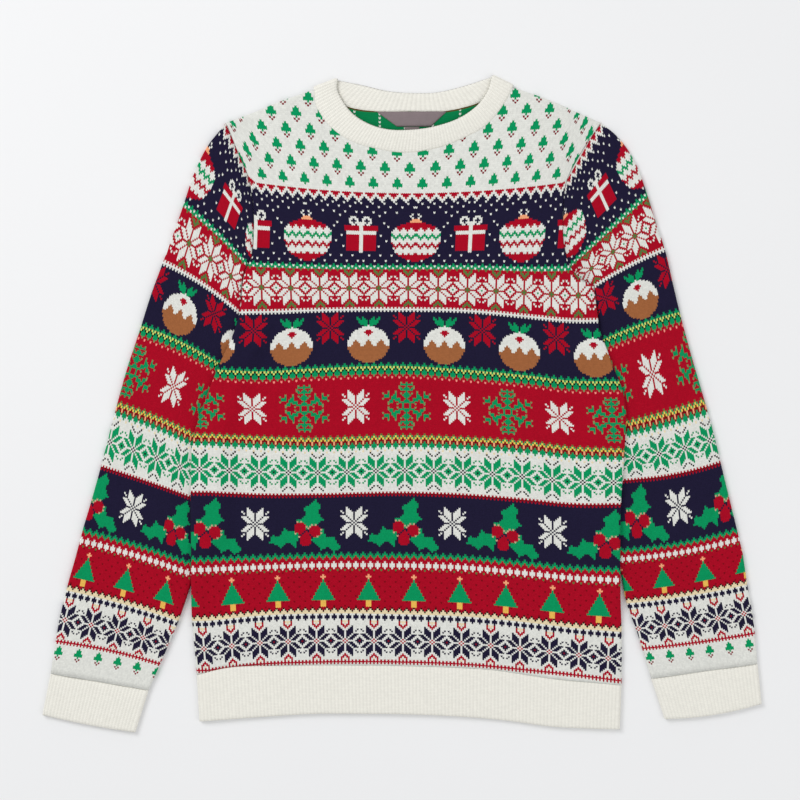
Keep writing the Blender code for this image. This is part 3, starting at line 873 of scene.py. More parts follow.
def red_star_chart():
    chart = blank(22, 9, "R")
    star(chart, 10, 0, "W")
    fill(chart, RED_STAR_OLIVE, "V")
    diamond(chart, 10, 8, "W", "G")
    return chart


PUDDING_LEAVES = (
    "...X..X",
    "..XX.XX",
    ".XXXXX.",
    ".XXXXX.",
    ".XXXX..",
    "WXX....",
)


# The icing's lower edge, in courses from the pudding's top, from its middle outwards
ICING = (8, 9, 11, 12, 12, 10, 9, 8, 9, 11, 12, 12)
PUDDING_TOP = 9
PUDDING_COURSES = 22
PUDDING_RADIUS = 11.5
PUDDING_ROW_SHARE = 1.04
# Courses of the berry on top: course, and wales from its middle outwards
PUDDING_BERRY = ((2, 2), (3, 3), (4, 2), (5, 1))


def pudding_chart():
    """Half a repeat, from the red star's middle to the pudding's."""
    chart = blank(31, 22, "N")
    middle = 21
    star(chart, 9, 0, "R")
    put(chart, PUDDING_LEAVES, 3, middle, -1, "G")
    for k in range(PUDDING_COURSES):
        up = (k - (PUDDING_COURSES - 1) / 2) * PUDDING_ROW_SHARE
        half = math.sqrt(max(0.0, PUDDING_RADIUS**2 - up**2))
        for d, icing in enumerate(ICING):
            if d <= half:
                chart[PUDDING_TOP + k][middle - d] = "B" if k >= icing else "W"
    for k, half in PUDDING_BERRY:
        fill(chart, [(PUDDING_TOP + k, middle - d) for d in range(half)], "R")
    return chart


SNOWFLAKE_QUARTER = (
    "G..S..........",
    "GGGG..........",
    "G...S.........",
    "GG.GS.........",
    "GGGG..........",
    "G.....S...S...",
    "GG.S..G...G..S",
    "GGG...GG..GGG.",
    "GG....GGG.GGG.",
    "G...GGGGG....S",
    "GG..GGG.GG....",
    "GGGGG...GGS...",
    "RRG..S....S...",
    "RRG...........",
)


def snowflake_chart():
    chart = blank(31, 29, "R")
    put(chart, SNOWFLAKE_QUARTER, 2, 0)
    put(chart, SNOWFLAKE_QUARTER[::-1], 15, 0)
    star(chart, 15, 28, "W", -1)
    return chart


# Dark stitches round the green star's middle, and the dark V above and below it: row and place
GREEN_STAR_DARK = ((12, 1), (11, 0), (13, 0), (3, 1), (2, 2), (1, 3), (21, 1), (22, 2), (23, 3))


def green_star_chart():
    chart = blank(25, 9, "W")
    star(chart, 12, 0, "G")
    fill(chart, ((12, 0),), "W")
    fill(chart, GREEN_STAR_DARK, "K")
    diamond(chart, 12, 8, "G", "K")
    return chart


# Leaves: base column and row, length, half width, angle from straight up (degrees to the right)
HOLLY_LEAVES = (
    (21.2, 18.5, 16.7, 8.8, 13.0),
    (15.8, 22.0, 16.2, 7.0, -103.0),
    (23.6, 23.0, 16.2, 7.0, 114.0),
)
HOLLY_BERRIES = ((16.4, 17.7, 3.3), (24.7, 19.6, 3.3), (19.5, 25.0, 3.3), (20.0, 21.0, 1.3))
# A leaf's edge, along its length from 0 to 1: a spine's length, how deep the bites between them go, where
# they start on each edge, how the width narrows, starts and grows at the base, and the slope of the tip
HOLLY_SPINE = 0.46
HOLLY_BITE = 0.5
HOLLY_STARTS = (0.42, 0.2)
HOLLY_NARROWS = 0.5
HOLLY_BASE = (0.3, 4.5)
HOLLY_TIP = 18.0
HOLLY_TIP_END = 1.05
HOLLY_END = 1.02
HOLLY_ROW_SHARE = 0.93
HOLLY_COURSES = 33
HOLLY_COLUMNS = 39
HOLLY_FROM = 15
# Width of the speckled rim round a berry
BERRY_RIM = 0.7


def holly_leaf(across, up, length, half, angle):
    """Whether a place is on a leaf that has one spine after another down both edges."""
    a = math.radians(angle)
    s = (across * math.sin(a) + up * math.cos(a)) / length
    t = across * math.cos(a) - up * math.sin(a)
    if not 0 <= s <= HOLLY_END:
        return False
    base, growth = HOLLY_BASE
    width = half * (1 - HOLLY_NARROWS * s) * min(1.0, base + growth * s)
    width = min(width, HOLLY_TIP * (HOLLY_TIP_END - s))
    start = HOLLY_STARTS[0] if t > 0 else HOLLY_STARTS[1]
    bite = 1 - HOLLY_BITE * math.sin(math.pi * ((s - start) / HOLLY_SPINE % 1.0))
    return abs(t) <= width * bite


def holly_chart():
    """The star and the holly, one whole repeat across."""
    chart = blank(HOLLY_COURSES, 54, "N")
    star(chart, 15, 7, "W")
    star(chart, 15, 7, "W", -1)
    places = [(i, j) for i in range(HOLLY_COURSES) for j in range(HOLLY_COLUMNS)]
    for i, j in places:
        for base_x, base_y, length, half, angle in HOLLY_LEAVES:
            if holly_leaf(j - base_x, (base_y - i) * HOLLY_ROW_SHARE, length, half, angle):
                chart[i][HOLLY_FROM + j] = "G"
    for i, j in places:
        for x, y, radius in HOLLY_BERRIES:
            far = math.hypot(j - x, (i - y) * HOLLY_ROW_SHARE)
            if far <= radius:
                chart[i][HOLLY_FROM + j] = "R"
            elif far <= radius + BERRY_RIM and chart[i][HOLLY_FROM + j] == "G":
                chart[i][HOLLY_FROM + j] = "E" if (i + j) % 2 else "G"
    return chart


TREE_WIDTHS = (1, 1, 2, 2, 3, 3, 4, 4, 5, 5, 6, 6, 7)
TREE_STAR = ((2, 1), (3, 2), (4, 1))
TREE_TOP = 5
TREE_TRUNK = range(18, 22)
DOT_STEP = 3
DOTS_EVEN = (2, 8, 15, 21)
DOTS_ODD = (5, 11, 18, 24)


def tree_chart():
    """The tree with its star, one whole repeat across, on a field of dark dots."""
    chart = blank(22, 25, "R")
    middle = 12
    for k, row in enumerate(range(0, 22, DOT_STEP)):
        for place in DOTS_ODD if k % 2 else DOTS_EVEN:
            chart[row][place] = "D"
    rows = [(row, half, "O") for row, half in TREE_STAR]
    rows += [(TREE_TOP + k, half, "G") for k, half in enumerate(TREE_WIDTHS)]
    rows += [(row, 2, "Y") for row in TREE_TRUNK]
    for row, half, letter in rows:
        for place in range(middle + 1 - half, middle + half):
            chart[row][place] = letter
    return chart


# Red V above the navy star, buff inside it, and the red arch below it: row and place
NAVY_V = ((4, 0), (3, 0), (3, 1), (2, 1), (2, 2), (1, 2), (0, 2), (11, 0), (12, 1), (13, 0))
NAVY_ARCH = ((20, 0), (21, 0), (21, 1), (22, 1), (22, 2), (23, 2))
NAVY_BUFF = ((1, 0), (0, 0), (0, 1), (23, 0))


def navy_star_chart():
    chart = blank(24, 9, "W")
    star(chart, 12, 0, "N")
    fill(chart, NAVY_V + NAVY_ARCH, "R")
    fill(chart, NAVY_BUFF, "C")
    diamond(chart, 12, 8, "N", "D")
    return chart


def small_tree_chart():
    chart = blank(29, 7, "W")
    small_tree(chart, 1, 0, 1)
    return chart


# Bands from the yoke down: name, first line of the whole chart, chart, stitches in a repeat, middle wale,
# and the same middle on the right and the left sleeve
YOKE_LINES = 17
LIME_BAND = ("GNN", "GGN", "KLG", "GKL", "GGK", "GGR", "SRR", "RRP")
PEACH_BAND = ("VRR", "MGR", "DMG", "DDO", "GDO", "GGD", "GGW", "GWW", "WWC")
CROSS_BAND = ("GNN", "GGN", "RGG", "RRG", "RRR", "WRR", "WWR", "WWR", "WRR", "RRV")
BUFF_BAND = ("KRR", "CKR", "CCK", "CCC", "NWW", "NNW", "NNW", "NWW")
BANDS = (
    ("yoke", 0, yoke_chart(), 12, -4.0, -4.0, -4.0),
    ("plain", 16, blank(1, 7, "W"), 12, 0.0, 0.0, 0.0),
    ("zigzag", 17, ZIGZAG, 6, 0.0, 0.0, 3.0),
    ("gifts", 22, gift_chart(), 58, -24.5, 3.5, 2.5),
    ("chain", 56, ("NNG", "WGG", "GGW", "VRR"), 4, -1.0, -1.0, -1.0),
    ("stars", 60, red_star_chart(), 16, 1.0, 2.0, -5.0),
    ("ticks", 82, ("WRW", "WWW", "WNW"), 4, 0.0, 1.0, 1.0),
    ("puddings", 85, pudding_chart(), 42, 0.0, 14.0, 23.0),
    ("lime", 116, LIME_BAND, 4, 2.0, 2.0, 2.0),
    ("snowflakes", 124, snowflake_chart(), 56, 0.0, -25.0, 27.0),
    ("peach", 155, PEACH_BAND, 4, 2.0, 2.0, 2.0),
    ("green_stars", 164, green_star_chart()[1:], 16, -1.0, 4.0, -6.0),
    ("red_rope", 188, ("WRW", "DDD", "RNR"), 4, 0.0, 0.0, 0.0),
    ("holly", 191, holly_chart(), 54, -36.0, -12.0, -6.0),
    ("crosses", 224, CROSS_BAND, 4, 0.0, 0.0, 0.0),
    ("trees", 234, tree_chart(), 25, -8.0, -12.0, -25.0),
    ("buff", 256, BUFF_BAND, 4, 0.0, 0.0, 1.0),
    ("navy_stars", 264, navy_star_chart(), 16, -2.0, 2.0, -1.0),
    ("rope", 288, ("WRW", "RRR", "WRW"), 4, 1.0, 0.0, 0.0),
    ("small_trees", 291, small_tree_chart(), 12, 0.0, -5.0, -6.0),
)
WHOLE_REPEATS = ("holly", "trees")
CHART_LINES = 320
GROUP_LINES = 32
HALF_LINES = 160
DIGITS = 5
BLOCK = 3 * DIGITS
STORE = 16.0**DIGITS
REPEAT_UNIT = 64.0


def whole_chart():
    """Every line of the chart from the yoke down, as numbers of LETTERS."""
    lines = [[] for _ in range(CHART_LINES)]
    for _, first, chart, *_ in BANDS:
        for i, line in enumerate(chart):
            if first + i < CHART_LINES:
                lines[first + i] = [LETTERS.index(mark) for mark in line]
    return lines


# --- Materials ---
def linear(rgb):
    values = [c / 255 for c in rgb]
    return tuple(c / 12.92 if c <= 0.04045 else ((c + 0.055) / 1.055) ** 2.4 for c in values) + (1.0,)


def feed(tree, socket, value):
    if isinstance(value, bpy.types.NodeSocket):
        tree.links.new(value, socket)
    else:
        socket.default_value = value


def maths(tree, operation, *values):
    node = tree.nodes.new("ShaderNodeMath")
    node.operation = operation
    for socket, value in zip(node.inputs, values):
        feed(tree, socket, value)
    return node.outputs[0]


def mixed(tree, share, first, second):
    """A colour between two others."""
    node = tree.nodes.new("ShaderNodeMix")
    node.data_type = "RGBA"
    feed(tree, node.inputs[0], share)
    feed(tree, node.inputs[6], first)
    feed(tree, node.inputs[7], second)
    return node.outputs[2]


def mixed_value(tree, share, first, second):
    node = tree.nodes.new("ShaderNodeMix")
    node.data_type = "FLOAT"
    feed(tree, node.inputs[0], share)
    feed(tree, node.inputs[2], first)
    feed(tree, node.inputs[3], second)
    return node.outputs[0]


def colour_ramp(tree, share, stops, interpolation="CONSTANT"):
    node = tree.nodes.new("ShaderNodeValToRGB")
    node.color_ramp.interpolation = interpolation
    elements = node.color_ramp.elements
    while len(elements) < len(stops):
        elements.new(1.0)
    for element, (position, colour) in zip(elements, stops):
        element.position = position
        element.color = (*colour[:3], 1.0)
    feed(tree, node.inputs[0], share)
    return node.outputs[0]


def split(tree, colour):
    node = tree.nodes.new("ShaderNodeSeparateColor")
    feed(tree, node.inputs[0], colour)
    return node.outputs[0], node.outputs[1], node.outputs[2]


def noise(tree, vector, scale, detail=2.0):
    node = tree.nodes.new("ShaderNodeTexNoise")
    node.inputs["Scale"].default_value = scale
    node.inputs["Detail"].default_value = detail
    feed(tree, node.inputs["Vector"], vector)
    return node.outputs["Fac"]


def joined(tree, x, y, z=0.0):
    node = tree.nodes.new("ShaderNodeCombineXYZ")
    feed(tree, node.inputs[0], x)
    feed(tree, node.inputs[1], y)
    feed(tree, node.inputs[2], z)
    return node.outputs[0]


def stitch_coordinates(tree):
    """Wale and course of a point, from the mesh's stitch map, and its place on the object."""
    uv = tree.nodes.new("ShaderNodeUVMap")
    uv.uv_map = "stitches"
    parts = tree.nodes.new("ShaderNodeSeparateXYZ")
    tree.links.new(uv.outputs[0], parts.inputs[0])
    place = tree.nodes.new("ShaderNodeTexCoord").outputs["Object"]
    return parts.outputs[0], parts.outputs[1], place


# How far a stitch's legs rise beside its middle, in courses
V_DEPTH = 0.45


def stitch_cell(tree, wale, course):
    """The stitch that a point is on: its wale, its course, and where the point is across and down it."""
    shifted = maths(tree, "ADD", wale, 0.5)
    number = maths(tree, "FLOOR", shifted)
    across = maths(tree, "SUBTRACT", shifted, number)
    off = maths(tree, "ABSOLUTE", maths(tree, "MULTIPLY_ADD", across, 2.0, -1.0))
    down = maths(tree, "ADD", course, maths(tree, "MULTIPLY_ADD", off, V_DEPTH, -V_DEPTH / 2))
    line = maths(tree, "FLOOR", down)
    part = maths(tree, "SUBTRACT", down, line)
    return number, line, off, part


def place_in_repeat(group, wale, line, centres):
    """Which stitch of its band's chart a wale is, counted from the middle where the chart is mirrored."""
    halves = []
    for half in range(2):
        stops = []
        for (band, first, chart, repeat, *_), centre in zip(BANDS, centres):
            last = first + len(chart)
            if last <= half * HALF_LINES or first >= (half + 1) * HALF_LINES:
                continue
            position = max(0.0, (first - half * HALF_LINES) / HALF_LINES)
            mirrored = 0.0 if band in WHOLE_REPEATS else 1.0
            shift = (centre + 0.5 if mirrored else centre) % repeat
            stops.append((position, (repeat / REPEAT_UNIT, shift / REPEAT_UNIT, mirrored)))
        share = maths(group, "DIVIDE", maths(group, "ADD", line, 0.9 - half * HALF_LINES), float(HALF_LINES))
        halves.append(colour_ramp(group, share, stops))
    lower = maths(group, "GREATER_THAN", line, HALF_LINES - 0.5)
    repeat, shift, mirrored = split(group, mixed(group, lower, *halves))
    repeat = maths(group, "MULTIPLY", repeat, REPEAT_UNIT)
    shift = maths(group, "MULTIPLY", shift, REPEAT_UNIT)
    place = maths(group, "SUBTRACT", maths(group, "ADD", wale, 0.75), shift)
    place = maths(group, "SUBTRACT", maths(group, "FLOORED_MODULO", place, repeat), 0.25)
    folded = maths(group, "MINIMUM", place, maths(group, "SUBTRACT", repeat, place))
    place = mixed_value(group, mirrored, place, folded)
    return maths(group, "FLOOR", maths(group, "ADD", place, 0.25))


def letter_number(group, line, place):
    """The number of a stitch's letter. Each colour of a ramp stores a line's next letters as digits."""
    lines = whole_chart()
    widest = max(len(marks) for marks in lines)
    store = None
    for block in range(math.ceil(widest / BLOCK)):
        held = None
        for first in range(0, CHART_LINES, GROUP_LINES):
            rows = lines[first:first + GROUP_LINES]
            if not any(len(marks) > block * BLOCK for marks in rows):
                continue
            stops = []
            for i, marks in enumerate(rows):
                colour = []
                for channel in range(3):
                    start = block * BLOCK + channel * DIGITS
                    digits = marks[start:start + DIGITS]
                    colour.append(sum(mark * 16**k for k, mark in enumerate(digits)) / STORE)
                stops.append((i / GROUP_LINES, colour))
            share = maths(group, "DIVIDE", maths(group, "ADD", line, 0.5 - first), float(GROUP_LINES))
            found = colour_ramp(group, share, stops)
            if held is None:
                held = found
            else:
                held = mixed(group, maths(group, "GREATER_THAN", line, first - 0.5), held, found)
        if store is None:
            store = held
        else:
            store = mixed(group, maths(group, "GREATER_THAN", place, block * BLOCK - 0.5), store, held)
    within = maths(group, "FLOORED_MODULO", place, float(BLOCK))
    red, green, blue = split(group, store)
    number = mixed_value(group, maths(group, "GREATER_THAN", within, DIGITS - 0.5), red, green)
    number = mixed_value(group, maths(group, "GREATER_THAN", within, 2 * DIGITS - 0.5), number, blue)
    digit = maths(group, "FLOORED_MODULO", within, float(DIGITS))
    number = maths(group, "MULTIPLY_ADD", number, STORE, 0.5)
    number = maths(group, "DIVIDE", number, maths(group, "POWER", 16.0, digit))
    return maths(group, "FLOORED_MODULO", maths(group, "FLOOR", number), 16.0)


def chart_group(name, centres):
    """A node group that gives the yarn colour of a stitch from its wale and its course."""
    group = bpy.data.node_groups.new(name, "ShaderNodeTree")
    group.interface.new_socket("Wale", in_out="INPUT", socket_type="NodeSocketFloat")
    group.interface.new_socket("Course", in_out="INPUT", socket_type="NodeSocketFloat")
    group.interface.new_socket("Color", in_out="OUTPUT", socket_type="NodeSocketColor")
    entry = group.nodes.new("NodeGroupInput")
    leave = group.nodes.new("NodeGroupOutput")
    wale, course = entry.outputs[0], entry.outputs[1]

    # The yoke repeats its lines upwards, and the other bands follow once each
    repeated = maths(group, "FLOORED_MODULO", maths(group, "ADD", course, 1.0), float(YOKE_COURSES))
    straight = maths(group, "MAXIMUM", maths(group, "ADD", course, float(YOKE_LINES)), YOKE_LINES - 1.0)
    in_yoke = maths(group, "LESS_THAN", course, -2.5)
    line = mixed_value(group, in_yoke, straight, repeated)
    line = maths(group, "MINIMUM", maths(group, "MAXIMUM", line, 0.0), CHART_LINES - 1.0)
    place = place_in_repeat(group, wale, line, centres)
    number = letter_number(group, line, place)
    share = maths(group, "DIVIDE", maths(group, "ADD", number, 0.5), 16.0)
    stops = [(k / 16, linear(PALETTE[letter])) for k, letter in enumerate(LETTERS)]
    group.links.new(colour_ramp(group, share, stops), leave.inputs[0])
    return group


CLOTH_SURFACE = {
    "Roughness": 0.92,
    "Specular IOR Level": 0.06,
    "Sheen Weight": 0.03,
    "Sheen Roughness": 0.5,
}
SATIN_ROUGHNESS = 0.55
SATIN_SPECULAR = 0.4
FUZZ_SCALE = 2600.0
# Depth of each bump, in metres
STITCH_BUMP = 0.0005
RIB_BUMP = 0.0003
SATIN_BUMP = 0.00008


def cloth(name):
    """A new cloth material and its shader."""
    material = bpy.data.materials.new(name)
    material.use_nodes = True
    tree = material.node_tree
    shader = tree.nodes["Principled BSDF"]
    for socket, value in CLOTH_SURFACE.items():
        shader.inputs[socket].default_value = value
    return material, tree, shader


def stitch_relief(tree, off, part):
    """Height over a stitch: two round legs with a groove between the wales. It drives the bump and the
    painted shade in the knits' colours.
    """
    leg = maths(tree, "SINE", maths(tree, "MULTIPLY", part, math.pi))
    middle = maths(tree, "SUBTRACT", 1.0, maths(tree, "POWER", maths(tree, "SUBTRACT", 1.0, off), 4.0))
    edge = maths(tree, "SUBTRACT", 1.0, maths(tree, "POWER", off, 5.0))
    across = maths(tree, "MULTIPLY_ADD", leg, 0.6, 0.4)
    return maths(tree, "MULTIPLY", across, maths(tree, "MULTIPLY", middle, edge))


def bump(tree, shader, height, distance, strength=0.6):
    node = tree.nodes.new("ShaderNodeBump")
    node.inputs["Strength"].default_value = strength
    node.inputs["Distance"].default_value = distance
    tree.links.new(height, node.inputs["Height"])
    tree.links.new(node.outputs[0], shader.inputs["Normal"])


def scaled(tree, colour, value):
    """A colour made lighter or darker by a value round 1."""
    node = tree.nodes.new("ShaderNodeVectorMath")
    node.operation = "SCALE"
    feed(tree, node.inputs[0], colour)
    feed(tree, node.inputs[3], value)
    return node.outputs[0]


def plain(tree, rgb):
    """One colour as a node."""
    node = tree.nodes.new("ShaderNodeRGB")
    node.outputs[0].default_value = rgb
    return node.outputs[0]


def stitch_chance(tree, number, line):
    """A value from 0 to 1 for each stitch, without pattern."""
    white = tree.nodes.new("ShaderNodeTexWhiteNoise")
    white.noise_dimensions = "2D"
    tree.links.new(joined(tree, number, line), white.inputs["Vector"])
    return white.outputs["Value"]


def lightness(tree, *terms):
    """Product of terms, each a value, how much it counts and what is added to it."""
    light = None
    for value, much, base in terms:
        term = maths(tree, "MULTIPLY_ADD", value, much, base)
        light = term if light is None else maths(tree, "MULTIPLY", light, term)
    return light


def jacquard(name, centres):
    """The patterned knit, each stitch in its yarn's colour, darkened by painted shade in its grooves."""
    material, tree, shader = cloth(name)
    wale, course, place = stitch_coordinates(tree)
    number, line, off, part = stitch_cell(tree, wale, course)
    group = tree.nodes.new("ShaderNodeGroup")
    group.node_tree = chart_group(name + "_chart", centres)
    tree.links.new(number, group.inputs[0])
    tree.links.new(line, group.inputs[1])
    chance = stitch_chance(tree, number, line)
    relief = stitch_relief(tree, off, part)
    patches = noise(tree, place, 14.0)
    # Random tone per stitch and in patches, and painted shade: the stitch relief darkens the grooves between
    # legs and wales
    light = lightness(tree, (chance, 0.12, 0.94), (relief, 0.16, 0.88), (patches, 0.08, 0.96))
    tree.links.new(scaled(tree, group.outputs[0], light), shader.inputs["Base Color"])
    fuzz = noise(tree, place, FUZZ_SCALE, 1.0)
    bump(tree, shader, maths(tree, "MULTIPLY_ADD", fuzz, 0.25, relief), STITCH_BUMP)
    return material


def rib_knit(name, rgb):
    """Rib: the wale counts ribs, with a ridge at each whole number and a groove half way. Its grooves get
    painted shade.
    """
    material, tree, shader = cloth(name)
    rib, course, place = stitch_coordinates(tree)
    from_ridge = maths(tree, "MULTIPLY", maths(tree, "PINGPONG", rib, 0.5), 2.0)
    groove = maths(tree, "POWER", from_ridge, 2.0)
    number, line, _, part = stitch_cell(tree, rib, course)
    chance = stitch_chance(tree, number, line)
    leg = maths(tree, "SINE", maths(tree, "MULTIPLY", part, math.pi))
    # Painted shade: darker in the grooves between ribs and where the courses' legs meet; the stitch term is
    # random tone
    light = lightness(tree, (groove, -0.09, 1.0), (chance, 0.05, 0.975), (leg, 0.08, 0.94))
    tree.links.new(scaled(tree, plain(tree, linear(rgb)), light), shader.inputs["Base Color"])
    fuzz = noise(tree, place, FUZZ_SCALE, 1.0)
    bump(tree, shader, maths(tree, "MULTIPLY_ADD", fuzz, 0.3, leg), RIB_BUMP)
    return material


# The green floats' yarn colour, partly darkened by painted shade for the neck opening under the collar
SHADED_FLOAT_GREEN = (8, 132, 78)
FLECK_WHITE = (226, 228, 222)
FLECK_WALES = 12.0
FLECK_LINES = 2.0
LINK_OLIVE = (92, 74, 34)
# Where the linking line starts, as a share of the strip along the neck
LINK_FROM = 0.68


def inside_knit(name):
    """The back of the fabric: green floats with white flecks, and the linking line under the collar. The
    green and the stitch grooves hold painted shade.
    """
    material, tree, shader = cloth(name)
    wale, course, _ = stitch_coordinates(tree)
    number, line, off, part = stitch_cell(tree, wale, course)
    fleck_wale = maths(tree, "COMPARE", maths(tree, "FLOORED_MODULO", number, FLECK_WALES), 0.0, 0.4)
    fleck_line = maths(tree, "COMPARE", maths(tree, "FLOORED_MODULO", line, FLECK_LINES), 0.0, 0.4)
    flecks = maths(tree, "MULTIPLY", fleck_wale, fleck_line)
    # Green floats, in a green that holds painted shade, with white flecks
    colour = mixed(tree, flecks, linear(SHADED_FLOAT_GREEN), linear(FLECK_WHITE))
    rim = tree.nodes.new("ShaderNodeAttribute")
    rim.attribute_name = "rim"
    link = maths(tree, "GREATER_THAN", rim.outputs["Fac"], LINK_FROM)
    colour = mixed(tree, link, colour, linear(LINK_OLIVE))
    relief = stitch_relief(tree, off, part)
    # Painted shade: the stitch relief darkens the grooves between legs and wales
    light = lightness(tree, (relief, 0.24, 0.80))
    tree.links.new(scaled(tree, colour, light), shader.inputs["Base Color"])
    bump(tree, shader, relief, STITCH_BUMP)
    return material


def satin(name, rgb):
    """Woven ribbon. Its map counts millimetres, and the threads are a few to each."""
    material, tree, shader = cloth(name)
    along_x, along_y, place = stitch_coordinates(tree)
    shader.inputs["Roughness"].default_value = SATIN_ROUGHNESS
    shader.inputs["Specular IOR Level"].default_value = SATIN_SPECULAR
    weft = maths(tree, "SINE", maths(tree, "MULTIPLY", along_y, 18.0))
    warp = maths(tree, "SINE", maths(tree, "MULTIPLY", along_x, 14.0))
    weave = maths(tree, "MULTIPLY", weft, warp)
    # Painted shade and highlight follow the threads' weave; the noise is random tone
    light = lightness(tree, (weave, 0.05, 1.0), (noise(tree, place, 90.0), 0.2, 0.9))
    tree.links.new(scaled(tree, plain(tree, linear(rgb)), light), shader.inputs["Base Color"])
    bump(tree, shader, weave, SATIN_BUMP)
    return material


jacquard_body = jacquard("jacquard_body", [band[4] for band in BANDS])
jacquard_right = jacquard("jacquard_right", [band[5] for band in BANDS])
jacquard_left = jacquard("jacquard_left", [band[6] for band in BANDS])
cream_rib = rib_knit("cream_rib", (241, 239, 230))
inside = inside_knit("inside_knit")
label_satin = satin("label_satin", (131, 117, 120))
tab_satin = satin("tab_satin", (128, 116, 116))


# --- Body ---
def finish_piece(piece, slot, *nodes):
    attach(piece, "root")
    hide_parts(*nodes)
    return piece


def front_levels(near):
    """Heights of the front's two faces at a distance from the fold or shoulder."""
    upper_fold, lower_fold = FOLD_LEVEL + FOLD_PART, FOLD_LEVEL + FOLD_PART / 2
    high = upper_fold + (FRONT_TOP - upper_fold) * fold_round(near)
    low = lower_fold + (FRONT_BASE - lower_fold) * ramp(near, 0.0, INNER_REACH)
    return high, low


def back_levels(near):
    """The same for the back, whose lower face lies on the table."""
    upper_fold = FOLD_LEVEL - FOLD_PART / 2
    high = upper_fold - (upper_fold - WALL) * ramp(near, 0.0, INNER_REACH)
    low = (FOLD_LEVEL - FOLD_PART) * (1 - fold_round(near))
    return high, low


# The armhole's seam: how deep it draws the front in, and how far that reaches
ARM_SEAM_DEPTH = 0.7
ARM_SEAM_REACH = 3.0
# The linking strip on the back's inside: its width below the neck, and the Y below which there is none
NECK_STRIP = 5.0
NECK_STRIP_FROM = 290.0
NECK_LINE_STEPS = 12


def body_piece(name, neck, is_front):
    grid, side, shares, beside, on_shoulder, from_top = body_plan(neck)
    lift = lifted(side, shares, beside)
    fold = np.where(beside[:, None], side.min(2), FAR)
    seam = np.where(beside[:, None], FAR, side.min(2))
    near = np.minimum(fold, np.where(on_shoulder[None, :], from_top, FAR))
    x, y = grid[:, :, 0], grid[:, :, 1]
    if is_front:
        high, low = front_levels(near)
        high = high - ARM_SEAM_DEPTH * (1 - fold_round(seam, ARM_SEAM_REACH))
        shape = creased(x, y, CREASES_FRONT) + waves(x, y)
        shape = shape * ramp(np.minimum(near, seam), 0.0, RELIEF_REACH)
        high = high + shape
        low = np.minimum(low + shape * RELIEF_BELOW, high - LEAST_WALL)
    else:
        high, low = back_levels(near)
    upper = np.dstack([x, y, high + lift])
    lower = np.dstack([x, y, low + lift])
    points, faces, count = shell(upper, lower)
    uv = np.stack(body_stitches(x, y), 1)
    uvs = np.concatenate([uv, uv])
    face_material = np.zeros(len(faces), int)
    rim = None
    if is_front:
        face_material[count:2 * count] = 1
    else:
        face_material[:count] = 1
        edge_line = smooth(neck, NECK_LINE_STEPS)
        flat = np.stack([x.ravel(), y.ravel()], 1)
        distance = np.full(len(flat), FAR)
        close = flat[:, 1] > NECK_STRIP_FROM
        away = flat[close][:, None] - edge_line[None]
        distance[close] = np.hypot(*away.transpose(2, 0, 1)).min(1)
        rim = np.concatenate([1.0 - distance / NECK_STRIP, np.zeros(len(flat))])
    return add_mesh(name, points, faces, uvs, (jacquard_body, inside), face_material, rim), grid


front, front_grid = body_piece("front_panel", NECK_FRONT, True)
back, back_grid = body_piece("back_panel", NECK_BACK, False)
finish_piece(front, "jacquard_knit", "front")
finish_piece(back, "jacquard_knit", "back")


# --- Sleeves ---
RING_SHARES = 56
FOLD_TURNS = 7
# How much deeper than the sleeve's own top its first sections lie, at the armhole's seam
CAP_DIPS = (0.7, 0.25, 0.1)
CAP_SECTIONS = 4
# Where the armhole's bow fades out towards the underarm, as shares of the section
BOW_FADE = (0.6, 0.95)
# Where soft relief starts and is full, from a tube's folds
TUBE_RELIEF = (2.0, 16.0)
# Share of the wall under a tube's outer face where its inner face lies
TUBE_WALL = 0.8
BRIDGE_SHARES = (0.25, 0.5, 0.75)


def sleeve_lines(side, armhole, hidden, shown, under, outward, steps=4):
    """Sections of a sleeve from the armhole to the cuff: outer and inner ends, with the armhole's bow."""
    side_line = smooth(side)
    arm = smooth(armhole)
    sections = []
    for k, (x, y, share) in enumerate(smooth(hidden, steps)):
        inner = at_heights(side_line, [share])[0]
        inner = inner - (outward * overlap_at(share, under), 0.0)
        if k == 0:
            inner = arm[0]
        bow = np.interp(k / steps, np.arange(len(CAP_BOW)), CAP_BOW)
        sections.append((np.array((x, y)), inner, bow))
    last = sections[-1]
    first = shown[0]
    for part in BRIDGE_SHARES:
        outer = last[0] + part * (np.array(first[:2]) - last[0])
        inner = last[1] + part * (np.array(first[2:]) - last[1])
        sections.append((outer, inner, 0.0))
    for row in smooth(shown, 2 * steps):
        sections.append((row[:2], row[2:], 0.0))
    return sections, arm


def sleeve_point(section, arm, share, clear):
    """A point of a section's plan, bowed as the armhole is."""
    outer, inner, bow = section
    seam = along(arm[::-1], [share])[0]
    chord = arm[-1] + share * (arm[0] - arm[-1])
    kept = bow if bow >= 1.0 else bow * (1 - float(ramp(share, *BOW_FADE)))
    return outer + share * (inner - outer) + kept * (seam - chord) + (clear, 0.0)


def tube_profile(width, shares):
    """Share of the width and height, -1 to 1, of each point round a flattened tube."""
    radius = FOLD_LEVEL
    turns = np.linspace(0.0, 90.0, FOLD_TURNS)[:-1]
    start = [(radius * (1 - math.cos(math.radians(a))) / width, math.sin(math.radians(a))) for a in turns]
    over = start + [(s, 1.0) for s in shares] + [(1 - s, h) for s, h in reversed(start)]
    under = [(1 - s, -h) for s, h in start[1:]] + [(s, -1.0) for s in reversed(shares)]
    under += [(s, -h) for s, h in reversed(start[1:])]
    return over + under, len(over)


def ring_faces(rings):
    """Quads between closed rings of points, the last ring joined to the first."""
    count = len(rings[0])
    faces = []
    for i in range(len(rings)):
        here, there = i * count, (i + 1) % len(rings) * count
        for j in range(count):
            k = (j + 1) % count
            faces.append((here + k, here + j, there + j, there + k))
    return faces


